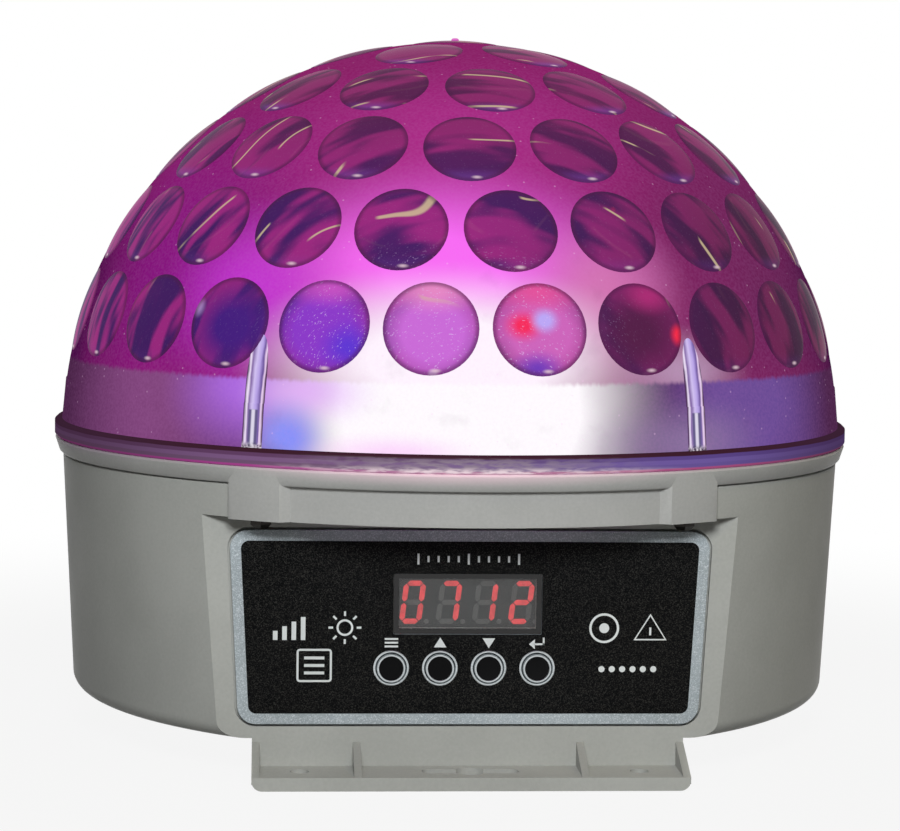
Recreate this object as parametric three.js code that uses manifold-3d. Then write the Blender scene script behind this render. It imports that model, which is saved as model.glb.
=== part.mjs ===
// LED dome effect light: a half-dome of moulded lenses on a round base with a control panel.
// Millimetres, +Z up, the control panel faces -Y.
// The origin is on the standing surface, on the axis of the dome.

import * as THREE from 'three';
import { ConvexGeometry } from 'three/addons/geometries/ConvexGeometry.js';
import { mergeVertices } from 'three/addons/utils/BufferGeometryUtils.js';
import Module from 'manifold-3d';

const wasm = await Module();
wasm.setup();

// Clearances shared by all pieces
const fit = {
  seat: 0.2, // between faces that rest on each other
  slip: 0.3, // round a piece that passes through another
  overrun: 1, // how far a cut or a joined piece runs past the face it meets
};

// Facets round a full turn, and steps along a rounded corner
const facets = { shell: 40, lens: 12, round: 12, boss: 8, screw: 6 };
const steps = { apron: 4, corner: 3, edge: 2, sharp: 1 };

// Foot moulded under the base: a skirt with a flange at the front and at the rear
const foot = {
  height: 9.9,
  halfWidth: 51.75,
  wall: 2.5,
  flangeReach: 13.5,
  flangeThickness: 3.2,
  flangeCorner: 2.5,
  ribThickness: 1.8,
  ribSpacing: 53.6,
  ribTopGap: 0.9,
  holeRadius: 2.25,
  holeSpacing: 80.8,
  holeInset: 6.2, // from the face of the flat
  slotLength: 23.2,
  slotWidth: 4.6,
  keyRadius: 4,
};

// Base housing
const base = {
  height: 61.8, // underside to the lower edge of the bezel ring
  inset: 1.3, // its top edge under the ring's lower edge
  draft: 2.7, // how much narrower its foot is
  edgeRadius: 4,
  wall: 2.5,
  flatDepth: 23, // what the flats at the front and the rear take off
  flatTopDrop: 8.2, // lower edge of the ring to the ledge over each flat
  rimInset: 1.8,
  shadowGap: 0.3,
};

// Bezel ring with an apron and two screw lugs over each flat
const ring = {
  height: 4.3,
  plate: 2.2,
  inset: 0.2, // its top edge under the dome's flange
  draft: 1.5, // how much narrower its foot is
  plateWidth: 14.8,
  apronDrop: 8.5,
  apronInset: 2.3,
  apronWall: 2.1,
  lugGap: 0.4, // between a lug and the flat behind it
  lugInnerTurn: THREE.MathUtils.degToRad(26.4),
  lugOuterTurn: THREE.MathUtils.degToRad(34),
  lugChamferTurn: THREE.MathUtils.degToRad(1.1),
};

// Lens dome
const dome = {
  radius: 102,
  wall: 2.5,
  centreDrop: 3, // the sphere's centre lies this far under the top of the flange
  flangeThickness: 4.2,
  flangeReach: 3, // past the sphere
  skirtHeight: 10.3,
  skirtStep: 0.2,
  skirtFootReach: 0.3, // past the sphere
  nubRadius: 1,
  nubHeight: 1.2,
  insideRows: 8,
  bossRadius: 2.7,
  bossHeight: 30.7,
};

// Round lenses in the dome
const lens = {
  radius: 11.15,
  flank: 0.4, // width of the step round the rim
  step: 0.25, // rim above the frosted wall
  crown: 0.3, // middle above the sphere
};
const lensRows = [
  { latitude: 18.1, count: 24, turnShare: -0.45 },
  { latitude: 32.2, count: 21, turnShare: -0.7 },
  { latitude: 46.2, count: 17, turnShare: -0.04 },
  { latitude: 60.1, count: 12, turnShare: 0.2 },
  { latitude: 74.3, count: 6, turnShare: -0.39 },
  { latitude: 90, count: 1, turnShare: 0 },
];

// Screws that hold the dome and the ring together, up through the lugs
const domeScrew = {
  turn: THREE.MathUtils.degToRad(30.75),
  inset: 4.2, // its axis inside the sphere
  shankRadius: 1.2,
  headRadius: 2.8,
  headHeight: 2,
  length: 22,
  pilotRadius: 1.5,
  pilotDepth: 12.7,
  clearance: 0.5,
};

// Screws that hold the ring on the base, up through its posts
const caseScrew = {
  turn: THREE.MathUtils.degToRad(45),
  inset: 12, // its axis inside the base's top edge
  shankRadius: 1.3,
  headRadius: 2.8,
  headHeight: 2,
  length: 10,
  pilotRadius: 1.5,
  clearance: 0.4,
  postRadius: 5,
  postDrop: 12, // the top of the rim to the top of a post
  postWeb: 3,
  boreRadius: 3.4,
  bossRadius: 3.8,
};

// Control panel plate, set into the front flat
const panel = {
  topWidth: 114.5,
  bottomWidth: 110.6,
  height: 46.6,
  cornerRadius: 4.5,
  thickness: 1.6,
  proud: 0.4,
  gap: 0.6,
  footMargin: 3.4, // underside of the base to the lower edge of the plate
};

// Display behind its pane
const display = {
  width: 35.3,
  height: 14.4,
  rise: 29, // lower edge of the plate to the middle of the pane
  shift: -0.65,
  paneThickness: 1.3,
  paneSink: 0.2,
  paneLedge: 1.2,
  paneCorner: 0.2,
  moduleMargin: 1.4, // past the opening, all round
  moduleDepth: 8,
};

// Push buttons
const button = {
  pitch: 11.63,
  rise: 13.6,
  shift: -1.35,
  capRadius: 3.5,
  faceRadius: 2.85,
  bevel: 0.5,
  proud: 1,
  collarRadius: 4.6,
  collarThickness: 0.9,
  stemRadius: 1.45,
  travel: 0.5,
  gap: 0.25,
  names: ['menu', 'up', 'down', 'enter'],
};

// Key switches on the control board
const tactSwitch = {
  width: 6,
  height: 3.6,
  wellRadius: 1.8,
  wellGap: 0.8, // under the stem of a pressed button
  stemInset: 0.9,
};

// Control board on pins of the base's front wall
const controlBoard = {
  sideInset: 3.3, // inside the lower corners of the plate
  height: 38,
  thickness: 1.6,
  rise: 21.5, // lower edge of the plate to the middle of the board
  pinInset: 4,
  bossRadius: 3,
  pinRadius: 1.2,
  pinProud: 1,
  chipWidth: 12,
  chipHeight: 3,
};

// Microphone behind its hole in the rear flat
const microphone = {
  radius: 4.8,
  depth: 6.5,
  holeRadius: 1.5,
  shift: -8.4,
  height: 52,
  sleeveWall: 1.2,
};

// Aluminium plate that carries the light sources and the motor
const chassis = {
  inset: 19, // its edge inside the sphere
  thickness: 2,
  flatGap: 1,
  drop: 10.8, // dome seat to the underside of the plate
  hubHole: 8,
  postRadius: 4.5,
  postInset: 9,
  postTurn: THREE.MathUtils.degToRad(60),
};

const plateScrew = {
  shankRadius: 1.3,
  headRadius: 2.8,
  headHeight: 2,
  length: 10,
  pilotRadius: 1.5,
  clearance: 0.4,
};

// Light sources
const lamp = {
  count: 6,
  circle: 42,
  boardInner: 24,
  boardOuter: 60,
  boardThickness: 1.6,
  width: 5,
  baseHeight: 1,
  domeRadius: 2,
  lensFootRadius: 5,
  lensTopRadius: 11,
  lensHeight: 13,
  lensRim: 1.5,
  wellRadius: 3.9,
  wellDepth: 4.5,
};

// Geared motor under the plate
const motor = {
  radius: 18,
  height: 22,
  collarRadius: 6.5,
  collarHeight: 3,
  earReach: 7,
  earThickness: 2,
  boreRadius: 3.35,
  boreDepth: 16,
  shaftRadius: 3,
  shaftFlangeRadius: 5,
  shaftFlangeHeight: 2,
};

// Effect wheel on the motor's shaft
const wheel = {
  radius: 74,
  thickness: 2.2,
  rimDrop: 5,
  rimWall: 2,
  gapOverLenses: 4,
  hubRadius: 8,
  hubHeight: 9,
  boreRadius: 3.25,
  cupCount: 8,
  cupCircle: 48,
  cupRadius: 15,
  cupTopRadius: 9,
  cupHeight: 4,
};

const wheelScrew = {
  shankRadius: 1,
  pilotRadius: 1.25,
  headRadius: 4.5,
  headHeight: 2,
  length: 7,
};

// Power supply board on the floor of the base
const power = {
  width: 92,
  depth: 62,
  thickness: 1.6,
  legHeight: 5,
  legRadius: 3,
  legInset: 5,
  pinRadius: 1.5,
  pinProud: 1,
  capRadius: 6,
  capHeight: 18,
  connectorHeight: 8,
  connectorWidth: 10,
  sinkThickness: 3,
  sinkHeight: 16,
  transformerWidth: 30,
  transformerDepth: 25,
  transformerHeight: 19,
  coreShare: 0.62, // height of the coil over the height of the core
  coilMargin: 3,
};

// Mains inlet in the rear flat
const inlet = {
  shift: 34,
  height: 33,
  flangeWidth: 31,
  flangeHeight: 25,
  flangeThickness: 3,
  flangeCorner: 2.5,
  bodyWidth: 27.2,
  bodyHeight: 19.8,
  bodyDepth: 22,
  wellWidth: 24.2,
  wellHeight: 16.4,
  wellDepth: 16,
  pinWidth: 2,
  pinHeight: 4,
  pinLength: 12,
  pinSpacing: 14,
  earthRise: 4,
  tabLength: 7,
};

// Round three-pole control sockets in the rear flat
const socket = {
  inShift: -6,
  outShift: -37,
  height: 33,
  flangeWidth: 26,
  flangeHeight: 31,
  flangeThickness: 2,
  flangeCorner: 2.5,
  barrelRadius: 11.6,
  barrelDepth: 18,
  wellRadius: 9.4,
  wellDepth: 14,
  pinRadius: 1.15,
  pinCircle: 3.95,
  pinLength: 10,
  plugRadius: 7.6,
  contactRadius: 1.5,
  contactDepth: 10,
  latchWidth: 5,
  latchHeight: 3,
};

// Radii that follow from the dome's
const flangeRadius = dome.radius + dome.flangeReach;
const skirtFootRadius = dome.radius + dome.skirtFootReach;
const ringTopRadius = flangeRadius - ring.inset;
const ringFootRadius = ringTopRadius - ring.draft;
const ringInnerRadius = ringTopRadius - ring.plateWidth;
const apronRadius = ringFootRadius - ring.apronInset;
const baseTopRadius = ringFootRadius - base.inset;
const baseFootRadius = baseTopRadius - base.draft;
const rimRadius = baseTopRadius - base.rimInset;
const domeScrewRadius = dome.radius - domeScrew.inset;
const caseScrewRadius = baseTopRadius - caseScrew.inset;
const chassisRadius = dome.radius - chassis.inset;
const platePostRadius = chassisRadius - chassis.postInset;

// Heights over the standing surface
const floorTop = foot.height + base.wall;
const ringFoot = foot.height + base.height;
const domeSeat = ringFoot + ring.height;
const ringTop = domeSeat - fit.seat;
const ringPlateFoot = ringTop - ring.plate;
const rimTop = ringPlateFoot - fit.seat;
const lugFoot = ringFoot - ring.apronDrop;
const flangeTop = domeSeat + dome.flangeThickness;
const centre = flangeTop - dome.centreDrop;
const ledge = ringFoot - base.flatTopDrop;
const postTop = rimTop - caseScrew.postDrop;
const plateFoot = domeSeat - chassis.drop;
const plateTop = plateFoot + chassis.thickness;
const lampBoardFoot = plateTop + fit.seat;
const lampBoardTop = lampBoardFoot + lamp.boardThickness;
const wheelFoot = lampBoardTop + lamp.lensHeight + wheel.gapOverLenses;
const skirtTop = centre + dome.centreDrop + dome.skirtHeight;
const panelFoot = foot.height + panel.footMargin;
const powerBoardFoot = floorTop + power.legHeight + fit.seat;

// Radius of the sphere where it meets the skirt
const skirtTopRadius = Math.sqrt(dome.radius ** 2 - (skirtTop - centre) ** 2);

// Distances in front of the axis
const flatDistance = baseTopRadius - base.flatDepth;
const wallBack = flatDistance - base.wall;
const recessFloor = flatDistance + panel.proud - panel.thickness - fit.seat;
const plateFace = flatDistance + panel.proud;
const moduleFace = wallBack - fit.slip;
const boardFace = moduleFace - display.moduleDepth - fit.seat;

// Board that fits behind the panel plate
const controlBoardWidth = panel.bottomWidth - 2 * controlBoard.sideInset;

// Materials
const finishes = {
  whitePlastic: { color: 0xb4b4ae, roughness: 0.45, metalness: 0 },
  clearPlastic: { color: 0xc060b8, roughness: 0.25, metalness: 0, transparent: true, opacity: 0.6 },
  blackPanel: { color: 0x1a1b1c, roughness: 0.4, metalness: 0.1 },
  smokedPane: { color: 0x2c3230, roughness: 0.15, metalness: 0 },
  displayBody: { color: 0x3a3c3e, roughness: 0.5, metalness: 0 },
  buttonCap: { color: 0x0c0c0d, roughness: 0.5, metalness: 0 },
  steel: { color: 0x8c8c8a, roughness: 0.35, metalness: 0.9 },
  board: { color: 0x1d5a34, roughness: 0.5, metalness: 0 },
  aluminium: { color: 0xb9babc, roughness: 0.4, metalness: 0.9 },
  ledWhite: { color: 0xe9e6d8, roughness: 0.4, metalness: 0 },
  blackPlastic: { color: 0x151515, roughness: 0.55, metalness: 0 },
  wheelPlastic: { color: 0xd9dde0, roughness: 0.15, metalness: 0, transparent: true, opacity: 0.6 },
  coil: { color: 0xa8742c, roughness: 0.5, metalness: 0 },
};

// Turns a closed geometry into a solid for joining and cutting.
function solid(geometry) {
  const bare = geometry.clone();
  bare.deleteAttribute('normal');
  bare.deleteAttribute('uv');
  const merged = mergeVertices(bare);
  const mesh = new wasm.Mesh({
    numProp: 3,
    vertProperties: merged.attributes.position.array,
    triVerts: new Uint32Array(merged.index.array),
  });
  return new wasm.Manifold(mesh);
}

function join(solids) {
  return solids.reduce((whole, next) => whole.add(next));
}

function cut(body, tools) {
  return tools.reduce((left, tool) => left.subtract(tool), body);
}

function geometryOf(body) {
  const { vertProperties, triVerts } = body.getMesh();
  const geometry = new THREE.BufferGeometry();
  geometry.setAttribute('position', new THREE.BufferAttribute(vertProperties, 3));
  geometry.setIndex(new THREE.BufferAttribute(triVerts, 1));
  return geometry;
}

// Moves a solid by a matrix.
function moved(body, matrix) {
  return solid(geometryOf(body).applyMatrix4(matrix));
}

function shifted(body, x, y, z) {
  return moved(body, new THREE.Matrix4().makeTranslation(x, y, z));
}

function turnedAbout(body, turn) {
  return moved(body, new THREE.Matrix4().makeRotationZ(turn));
}

// Turns a solid drawn with its outer face up so that the face looks to the front.
function facing(body) {
  return moved(body, new THREE.Matrix4().makeRotationX(Math.PI / 2));
}

// Makes a named mesh of a solid.
function piece(name, body, finish) {
  const geometry = geometryOf(body);
  geometry.computeVertexNormals();
  const mesh = new THREE.Mesh(geometry, new THREE.MeshStandardMaterial(finishes[finish]));
  mesh.name = name;
  return mesh;
}

function at(mesh, x, y, z, turn = 0) {
  mesh.position.set(x, y, z);
  mesh.rotation.z = turn;
  return mesh;
}

function group(meshes) {
  const holder = new THREE.Group();
  holder.add(...meshes);
  return holder;
}

// A round bar along Z.
function bar(radius, low, high, sides = facets.boss, x = 0, y = 0) {
  const geometry = new THREE.CylinderGeometry(radius, radius, high - low, sides);
  geometry.rotateX(Math.PI / 2);
  geometry.translate(x, y, (low + high) / 2);
  return solid(geometry);
}

function cone(lowRadius, highRadius, low, high, sides, x = 0, y = 0) {
  const geometry = new THREE.CylinderGeometry(highRadius, lowRadius, high - low, sides);
  geometry.rotateX(Math.PI / 2);
  geometry.translate(x, y, (low + high) / 2);
  return solid(geometry);
}

function block(left, right, front, back, low, high) {
  const geometry = new THREE.BoxGeometry(right - left, back - front, high - low);
  geometry.translate((left + right) / 2, (front + back) / 2, (low + high) / 2);
  return solid(geometry);
}

// A shape drawn in XY and raised from low to high.
function prism(shape, low, high, arcSteps = facets.boss) {
  const settings = { depth: high - low, bevelEnabled: false, curveSegments: arcSteps };
  const geometry = new THREE.ExtrudeGeometry(shape, settings);
  geometry.translate(0, 0, low);
  return solid(geometry);
}

// A profile of [radius, height] pairs turned about Z. It runs up the outside and down the inside.
function turned(profile, sides) {
  const points = profile.map(([radius, height]) => new THREE.Vector2(radius, height));
  const geometry = new THREE.LatheGeometry(points, sides);
  geometry.rotateX(Math.PI / 2);
  return solid(geometry);
}

// A rectangle with round corners, centred on x and y.
function roundedRectangle(width, height, corner, x = 0, y = 0) {
  const shape = new THREE.Shape();
  const right = width / 2 - corner;
  const top = height / 2 - corner;
  shape.absarc(x + right, y + top, corner, 0, Math.PI / 2);
  shape.absarc(x - right, y + top, corner, Math.PI / 2, Math.PI);
  shape.absarc(x - right, y - top, corner, Math.PI, 1.5 * Math.PI);
  shape.absarc(x + right, y - top, corner, 1.5 * Math.PI, 2 * Math.PI);
  return shape;
}

// Places on a circle at a turn from the front, mirrored to the four quarters.
function quarterPlaces(radius, turn) {
  const x = radius * Math.sin(turn);
  const y = radius * Math.cos(turn);
  return [[-x, -y], [x, -y], [-x, y], [x, y]];
}

const domeScrewPlaces = quarterPlaces(domeScrewRadius, domeScrew.turn);
const caseScrewPlaces = quarterPlaces(caseScrewRadius, caseScrew.turn);
const plateScrewPlaces = quarterPlaces(platePostRadius, chassis.postTurn);

// The outline of the panel plate in its own plane, grown by a margin, its lower edge at zero
function panelOutline(margin) {
  const corner = panel.cornerRadius + margin;
  const lean = Math.atan2((panel.topWidth - panel.bottomWidth) / 2, panel.height);
  const topX = panel.topWidth / 2 - panel.cornerRadius;
  const topY = panel.height - panel.cornerRadius;
  const footX = panel.bottomWidth / 2 - panel.cornerRadius;
  const footY = panel.cornerRadius;
  const shape = new THREE.Shape();
  shape.absarc(topX, topY, corner, -lean, Math.PI / 2);
  shape.absarc(-topX, topY, corner, Math.PI / 2, Math.PI + lean);
  shape.absarc(-footX, footY, corner, Math.PI + lean, 1.5 * Math.PI);
  shape.absarc(footX, footY, corner, 1.5 * Math.PI, 2 * Math.PI - lean);
  return shape;
}

function buttonShifts() {
  return button.names.map((_, i) => button.shift + (i - (button.names.length - 1) / 2) * button.pitch);
}

// Everything that passes through the front wall, drawn face up and turned to the front
function frontCuts() {
  const through = flatDistance + fit.overrun;
  const inside = wallBack - fit.overrun;
  const opening = roundedRectangle(
    display.width - 2 * display.paneLedge,
    display.height - 2 * display.paneLedge,
    display.paneCorner,
    display.shift,
    display.rise,
  );
  const cuts = [
    prism(panelOutline(panel.gap), recessFloor, through, steps.corner),
    prism(opening, inside, through, steps.sharp),
  ];
  for (const x of buttonShifts()) {
    cuts.push(bar(button.capRadius + button.gap, inside, through, facets.round, x, button.rise));
  }
  return cuts.map((tool) => facing(shifted(tool, 0, panelFoot, 0)));
}

// Everything that passes through the rear wall
function rearCuts() {
  const through = flatDistance + fit.overrun;
  const inside = wallBack - fit.overrun;
  const inletHole = roundedRectangle(
    inlet.bodyWidth + 2 * fit.slip,
    inlet.bodyHeight + 2 * fit.slip,
    inlet.flangeCorner,
    inlet.shift,
    inlet.height,
  );
  const socketHole = socket.barrelRadius + fit.slip;
  const cuts = [
    prism(inletHole, inside, through, steps.corner),
    bar(socketHole, inside, through, facets.round, socket.inShift, socket.height),
    bar(socketHole, inside, through, facets.round, socket.outShift, socket.height),
    bar(microphone.holeRadius, inside, through, facets.boss, microphone.shift, microphone.height),
  ];
  return cuts.map((tool) => turnedAbout(facing(tool), Math.PI));
}

// What the flat at the front takes off the round body. Over the ledge it reaches only to the lugs.
function flatCut() {
  const far = baseTopRadius + fit.overrun;
  const below = block(-far, far, -far, -flatDistance, -fit.overrun, ledge);
  const reach = far / Math.cos(ring.lugOuterTurn);
  const halfWidth = reach * Math.sin(ring.lugOuterTurn) + ring.lugGap;
  const wedge = new THREE.Shape();
  wedge.moveTo(0, 0);
  wedge.lineTo(-halfWidth, -far);
  wedge.lineTo(halfWidth, -far);
  const above = prism(wedge, ledge - fit.overrun, domeSeat);
  const front = block(-far, far, -far, -flatDistance, ledge - fit.overrun, domeSeat);
  return below.add(above.intersect(front));
}

function bothEnds(body) {
  return [body, turnedAbout(body, Math.PI)];
}

// The foot's skirt, its flanges with their ribs, and the screw holes and key slots in them
function mountingFoot() {
  const skirtHalf = foot.halfWidth;
  const top = foot.height + base.wall / 2;
  const outer = block(-skirtHalf, skirtHalf, -flatDistance, flatDistance, 0, top);
  const inner = block(
    -skirtHalf + foot.wall,
    skirtHalf - foot.wall,
    -flatDistance + foot.wall,
    flatDistance - foot.wall,
    -fit.overrun,
    foot.height,
  );
  const flanges = bothEnds(footFlange());
  return join([cut(outer, [inner]), ...flanges]);
}

function footFlange() {
  const front = flatDistance + foot.flangeReach;
  const corner = foot.flangeCorner;
  const section = new THREE.Shape();
  section.absarc(foot.halfWidth - corner, corner, corner, -Math.PI / 2, 0);
  section.lineTo(foot.halfWidth, foot.flangeThickness);
  section.lineTo(-foot.halfWidth, foot.flangeThickness);
  section.absarc(corner - foot.halfWidth, corner, corner, Math.PI, 1.5 * Math.PI);
  const plate = facing(prism(section, flatDistance - foot.wall, front, steps.apron));
  const holeY = -flatDistance - foot.holeInset;
  const high = foot.flangeThickness + fit.overrun;
  const tools = [-1, 1].map((side) =>
    bar(foot.holeRadius, -fit.overrun, high, facets.boss, (side * foot.holeSpacing) / 2, holeY),
  );
  const slot = roundedRectangle(foot.slotLength, foot.slotWidth, foot.slotWidth / 2 - fit.seat / 2, 0, holeY);
  tools.push(prism(slot, -fit.overrun, high, steps.corner));
  tools.push(bar(foot.keyRadius, -fit.overrun, high, facets.boss, 0, holeY));
  return join([cut(plate, tools), ...footRibs()]);
}

// Triangular ribs between the front wall and the flange
function footRibs() {
  const front = flatDistance + foot.flangeReach;
  const root = flatDistance - foot.wall / 2;
  const top = foot.height - foot.ribTopGap;
  const section = new THREE.Shape();
  section.moveTo(root, foot.flangeThickness / 2);
  section.lineTo(front, foot.flangeThickness / 2);
  section.lineTo(front, foot.flangeThickness);
  section.lineTo(flatDistance, top);
  section.lineTo(root, top);
  const end = foot.halfWidth - foot.ribThickness / 2;
  const places = [-end, -foot.ribSpacing / 2, foot.ribSpacing / 2, end];
  return places.map((x) => {
    const rib = prism(section, -foot.ribThickness / 2, foot.ribThickness / 2);
    return shifted(turnedAbout(facing(rib), -Math.PI / 2), x, 0, 0);
  });
}

function caseScrewPosts() {
  return caseScrewPlaces.map(([x, y]) =>
    bar(caseScrew.postRadius, foot.height, postTop, facets.boss, x, y),
  );
}

function caseScrewBores() {
  const webFoot = postTop - caseScrew.postWeb;
  const holeRadius = caseScrew.shankRadius + caseScrew.clearance;
  return caseScrewPlaces.flatMap(([x, y]) => [
    bar(caseScrew.boreRadius, -fit.overrun, webFoot, facets.boss, x, y),
    bar(holeRadius, webFoot - fit.overrun, postTop + fit.overrun, facets.screw, x, y),
  ]);
}

function platePosts() {
  return plateScrewPlaces.map(([x, y]) =>
    bar(chassis.postRadius, foot.height, plateFoot - fit.seat, facets.boss, x, y),
  );
}

function platePostPilots() {
  const top = plateFoot + fit.overrun;
  return plateScrewPlaces.map(([x, y]) =>
    bar(plateScrew.pilotRadius, plateFoot - plateScrew.length, top, facets.screw, x, y),
  );
}

function powerBoardCorners() {
  const x = power.width / 2 - power.legInset;
  const y = power.depth / 2 - power.legInset;
  return [[-x, -y], [x, -y], [-x, y], [x, y]];
}

function powerBoardLegs() {
  const pinTop = powerBoardFoot + power.thickness + power.pinProud;
  return powerBoardCorners().flatMap(([x, y]) => [
    bar(power.legRadius, foot.height, floorTop + power.legHeight, facets.screw, x, y),
    bar(power.pinRadius, foot.height, pinTop, facets.screw, x, y),
  ]);
}

function controlBoardCorners() {
  const x = controlBoardWidth / 2 - controlBoard.pinInset;
  const y = controlBoard.height / 2 - controlBoard.pinInset;
  return [[-x, -y], [x, -y], [-x, y], [x, y]];
}

// Bosses on the inside of the front wall, each with a pin through the control board
function controlBoardBosses() {
  const middle = panelFoot + controlBoard.rise;
  const boardBack = boardFace - controlBoard.thickness;
  const root = (wallBack + recessFloor) / 2;
  return controlBoardCorners().flatMap(([x, y]) => {
    const boss = bar(controlBoard.bossRadius, boardFace + fit.seat, root, facets.boss, x, y);
    const pin = bar(controlBoard.pinRadius, boardBack - controlBoard.pinProud, root, facets.screw, x, y);
    return [boss, pin].map((body) => facing(shifted(body, 0, middle, 0)));
  });
}

// A sleeve on the inside of the rear wall that holds the microphone
function microphoneSleeve() {
  const { radius, depth, shift, height, sleeveWall } = microphone;
  const inside = radius + fit.seat;
  const foot = wallBack - depth;
  const root = (wallBack + flatDistance) / 2;
  const outer = bar(inside + sleeveWall, foot, root, facets.boss, shift, height);
  const inner = bar(inside, foot - fit.overrun, wallBack, facets.boss, shift, height);
  return turnedAbout(facing(cut(outer, [inner])), Math.PI);
}

// The round outside of the base, with its rounded lower edge and the rim inside the ring
function baseOutside() {
  const corner = Array.from({ length: steps.edge + 1 }, (_, i) => {
    const angle = (i / steps.edge) * (Math.PI / 2);
    const radius = baseFootRadius - base.edgeRadius * (1 - Math.sin(angle));
    const height = foot.height + base.edgeRadius * (1 - Math.cos(angle));
    return [radius, height];
  });
  const shoulder = ringFoot - base.shadowGap;
  return turned(
    [
      [0, foot.height],
      ...corner,
      [baseTopRadius, shoulder],
      [rimRadius, shoulder],
      [rimRadius, rimTop],
      [0, rimTop],
    ],
    facets.shell,
  );
}

function baseInside() {
  const footRadius = baseFootRadius - base.wall;
  const hollow = turned(
    [
      [0, floorTop],
      [footRadius - base.edgeRadius / 2, floorTop],
      [footRadius, floorTop + base.edgeRadius / 2],
      [rimRadius - base.wall, ringFoot - base.wall],
      [rimRadius - base.wall, rimTop + fit.overrun],
      [0, rimTop + fit.overrun],
    ],
    facets.shell,
  );
  const far = baseTopRadius;
  return hollow.intersect(block(-far, far, -wallBack, wallBack, foot.height, rimTop + 2 * fit.overrun));
}

function baseHousing() {
  const shell = cut(baseOutside(), [...bothEnds(flatCut()), baseInside()]);
  const whole = join([
    shell,
    mountingFoot(),
    ...caseScrewPosts(),
    ...platePosts(),
    ...powerBoardLegs(),
    ...controlBoardBosses(),
    microphoneSleeve(),
  ]);
  const tools = [...caseScrewBores(), ...platePostPilots(), ...frontCuts(), ...rearCuts()];
  return piece('base_housing', cut(whole, tools), 'whitePlastic');
}

// The apron over the front flat with a screw lug at each end, seen from above
function apronOutline() {
  const front = -Math.PI / 2;
  const outer = ring.lugOuterTurn;
  const inner = ring.lugInnerTurn;
  const chamfer = inner - ring.lugChamferTurn;
  const back = flatDistance + ring.lugGap;
  const apronInside = apronRadius - ring.apronWall;
  const shape = new THREE.Shape();
  shape.absarc(0, 0, ringFootRadius, front - outer, front - inner);
  shape.absarc(0, 0, apronRadius, front - chamfer, front + chamfer);
  shape.absarc(0, 0, ringFootRadius, front + inner, front + outer);
  shape.lineTo(back * Math.tan(outer), -back);
  shape.lineTo(back * Math.tan(inner), -back);
  shape.absarc(0, 0, apronInside, front + chamfer, front - chamfer, true);
  shape.lineTo(-back * Math.tan(inner), -back);
  shape.lineTo(-back * Math.tan(outer), -back);
  return shape;
}

function bezelRing() {
  const inside = rimRadius + fit.slip;
  const loop = turned(
    [
      [inside, ringFoot],
      [ringFootRadius, ringFoot],
      [ringTopRadius, ringTop],
      [ringInnerRadius, ringTop],
      [ringInnerRadius, ringPlateFoot],
      [inside, ringPlateFoot],
      [inside, ringFoot],
    ],
    facets.shell,
  );
  const apron = prism(apronOutline(), lugFoot, ringPlateFoot + ring.plate / 2, steps.apron);
  const bosses = caseScrewPlaces.map(([x, y]) =>
    bar(caseScrew.bossRadius, postTop + fit.seat, ringPlateFoot + ring.plate / 2, facets.boss, x, y),
  );
  const screwHole = domeScrew.shankRadius + domeScrew.clearance;
  const tools = [
    ...domeScrewPlaces.map(([x, y]) =>
      bar(screwHole, lugFoot - fit.overrun, ringTop + fit.overrun, facets.boss, x, y),
    ),
    ...caseScrewPlaces.map(([x, y]) =>
      bar(caseScrew.pilotRadius, postTop - fit.overrun, ringPlateFoot, facets.screw, x, y),
    ),
  ];
  const whole = join([loop, ...bothEnds(apron), ...bosses]);
  return piece('bezel_ring', cut(whole, tools), 'whitePlastic');
}

// Points of a sphere's profile between two heights over its centre
function spherePoints(radius, lowHeight, rows) {
  const low = Math.asin(lowHeight / radius);
  return Array.from({ length: rows + 1 }, (_, i) => {
    const angle = low + ((Math.PI / 2 - low) * i) / rows;
    const distance = i === rows ? 0 : radius * Math.cos(angle);
    return [distance, centre + radius * Math.sin(angle)];
  });
}

// Unit vectors from the sphere's centre through the middle of each lens
function lensDirections() {
  return lensRows.flatMap(({ latitude, count, turnShare }) =>
    Array.from({ length: count }, (_, i) => {
      const rise = THREE.MathUtils.degToRad(latitude);
      const azimuth = ((i + turnShare) * 2 * Math.PI) / count;
      const reach = Math.cos(rise);
      return new THREE.Vector3(reach * Math.sin(azimuth), -reach * Math.cos(azimuth), Math.sin(rise));
    }),
  );
}

// Points on the sphere round a direction, at an angle to it
function ringAround(direction, angle) {
  const side = new THREE.Vector3(-direction.y, direction.x, 0);
  if (side.lengthSq() < angle ** 2) side.set(1, 0, 0);
  const start = direction.clone().applyAxisAngle(side.normalize(), angle);
  return Array.from({ length: facets.lens }, (_, i) =>
    start.clone().applyAxisAngle(direction, (i * 2 * Math.PI) / facets.lens).multiplyScalar(dome.radius),
  );
}

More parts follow.
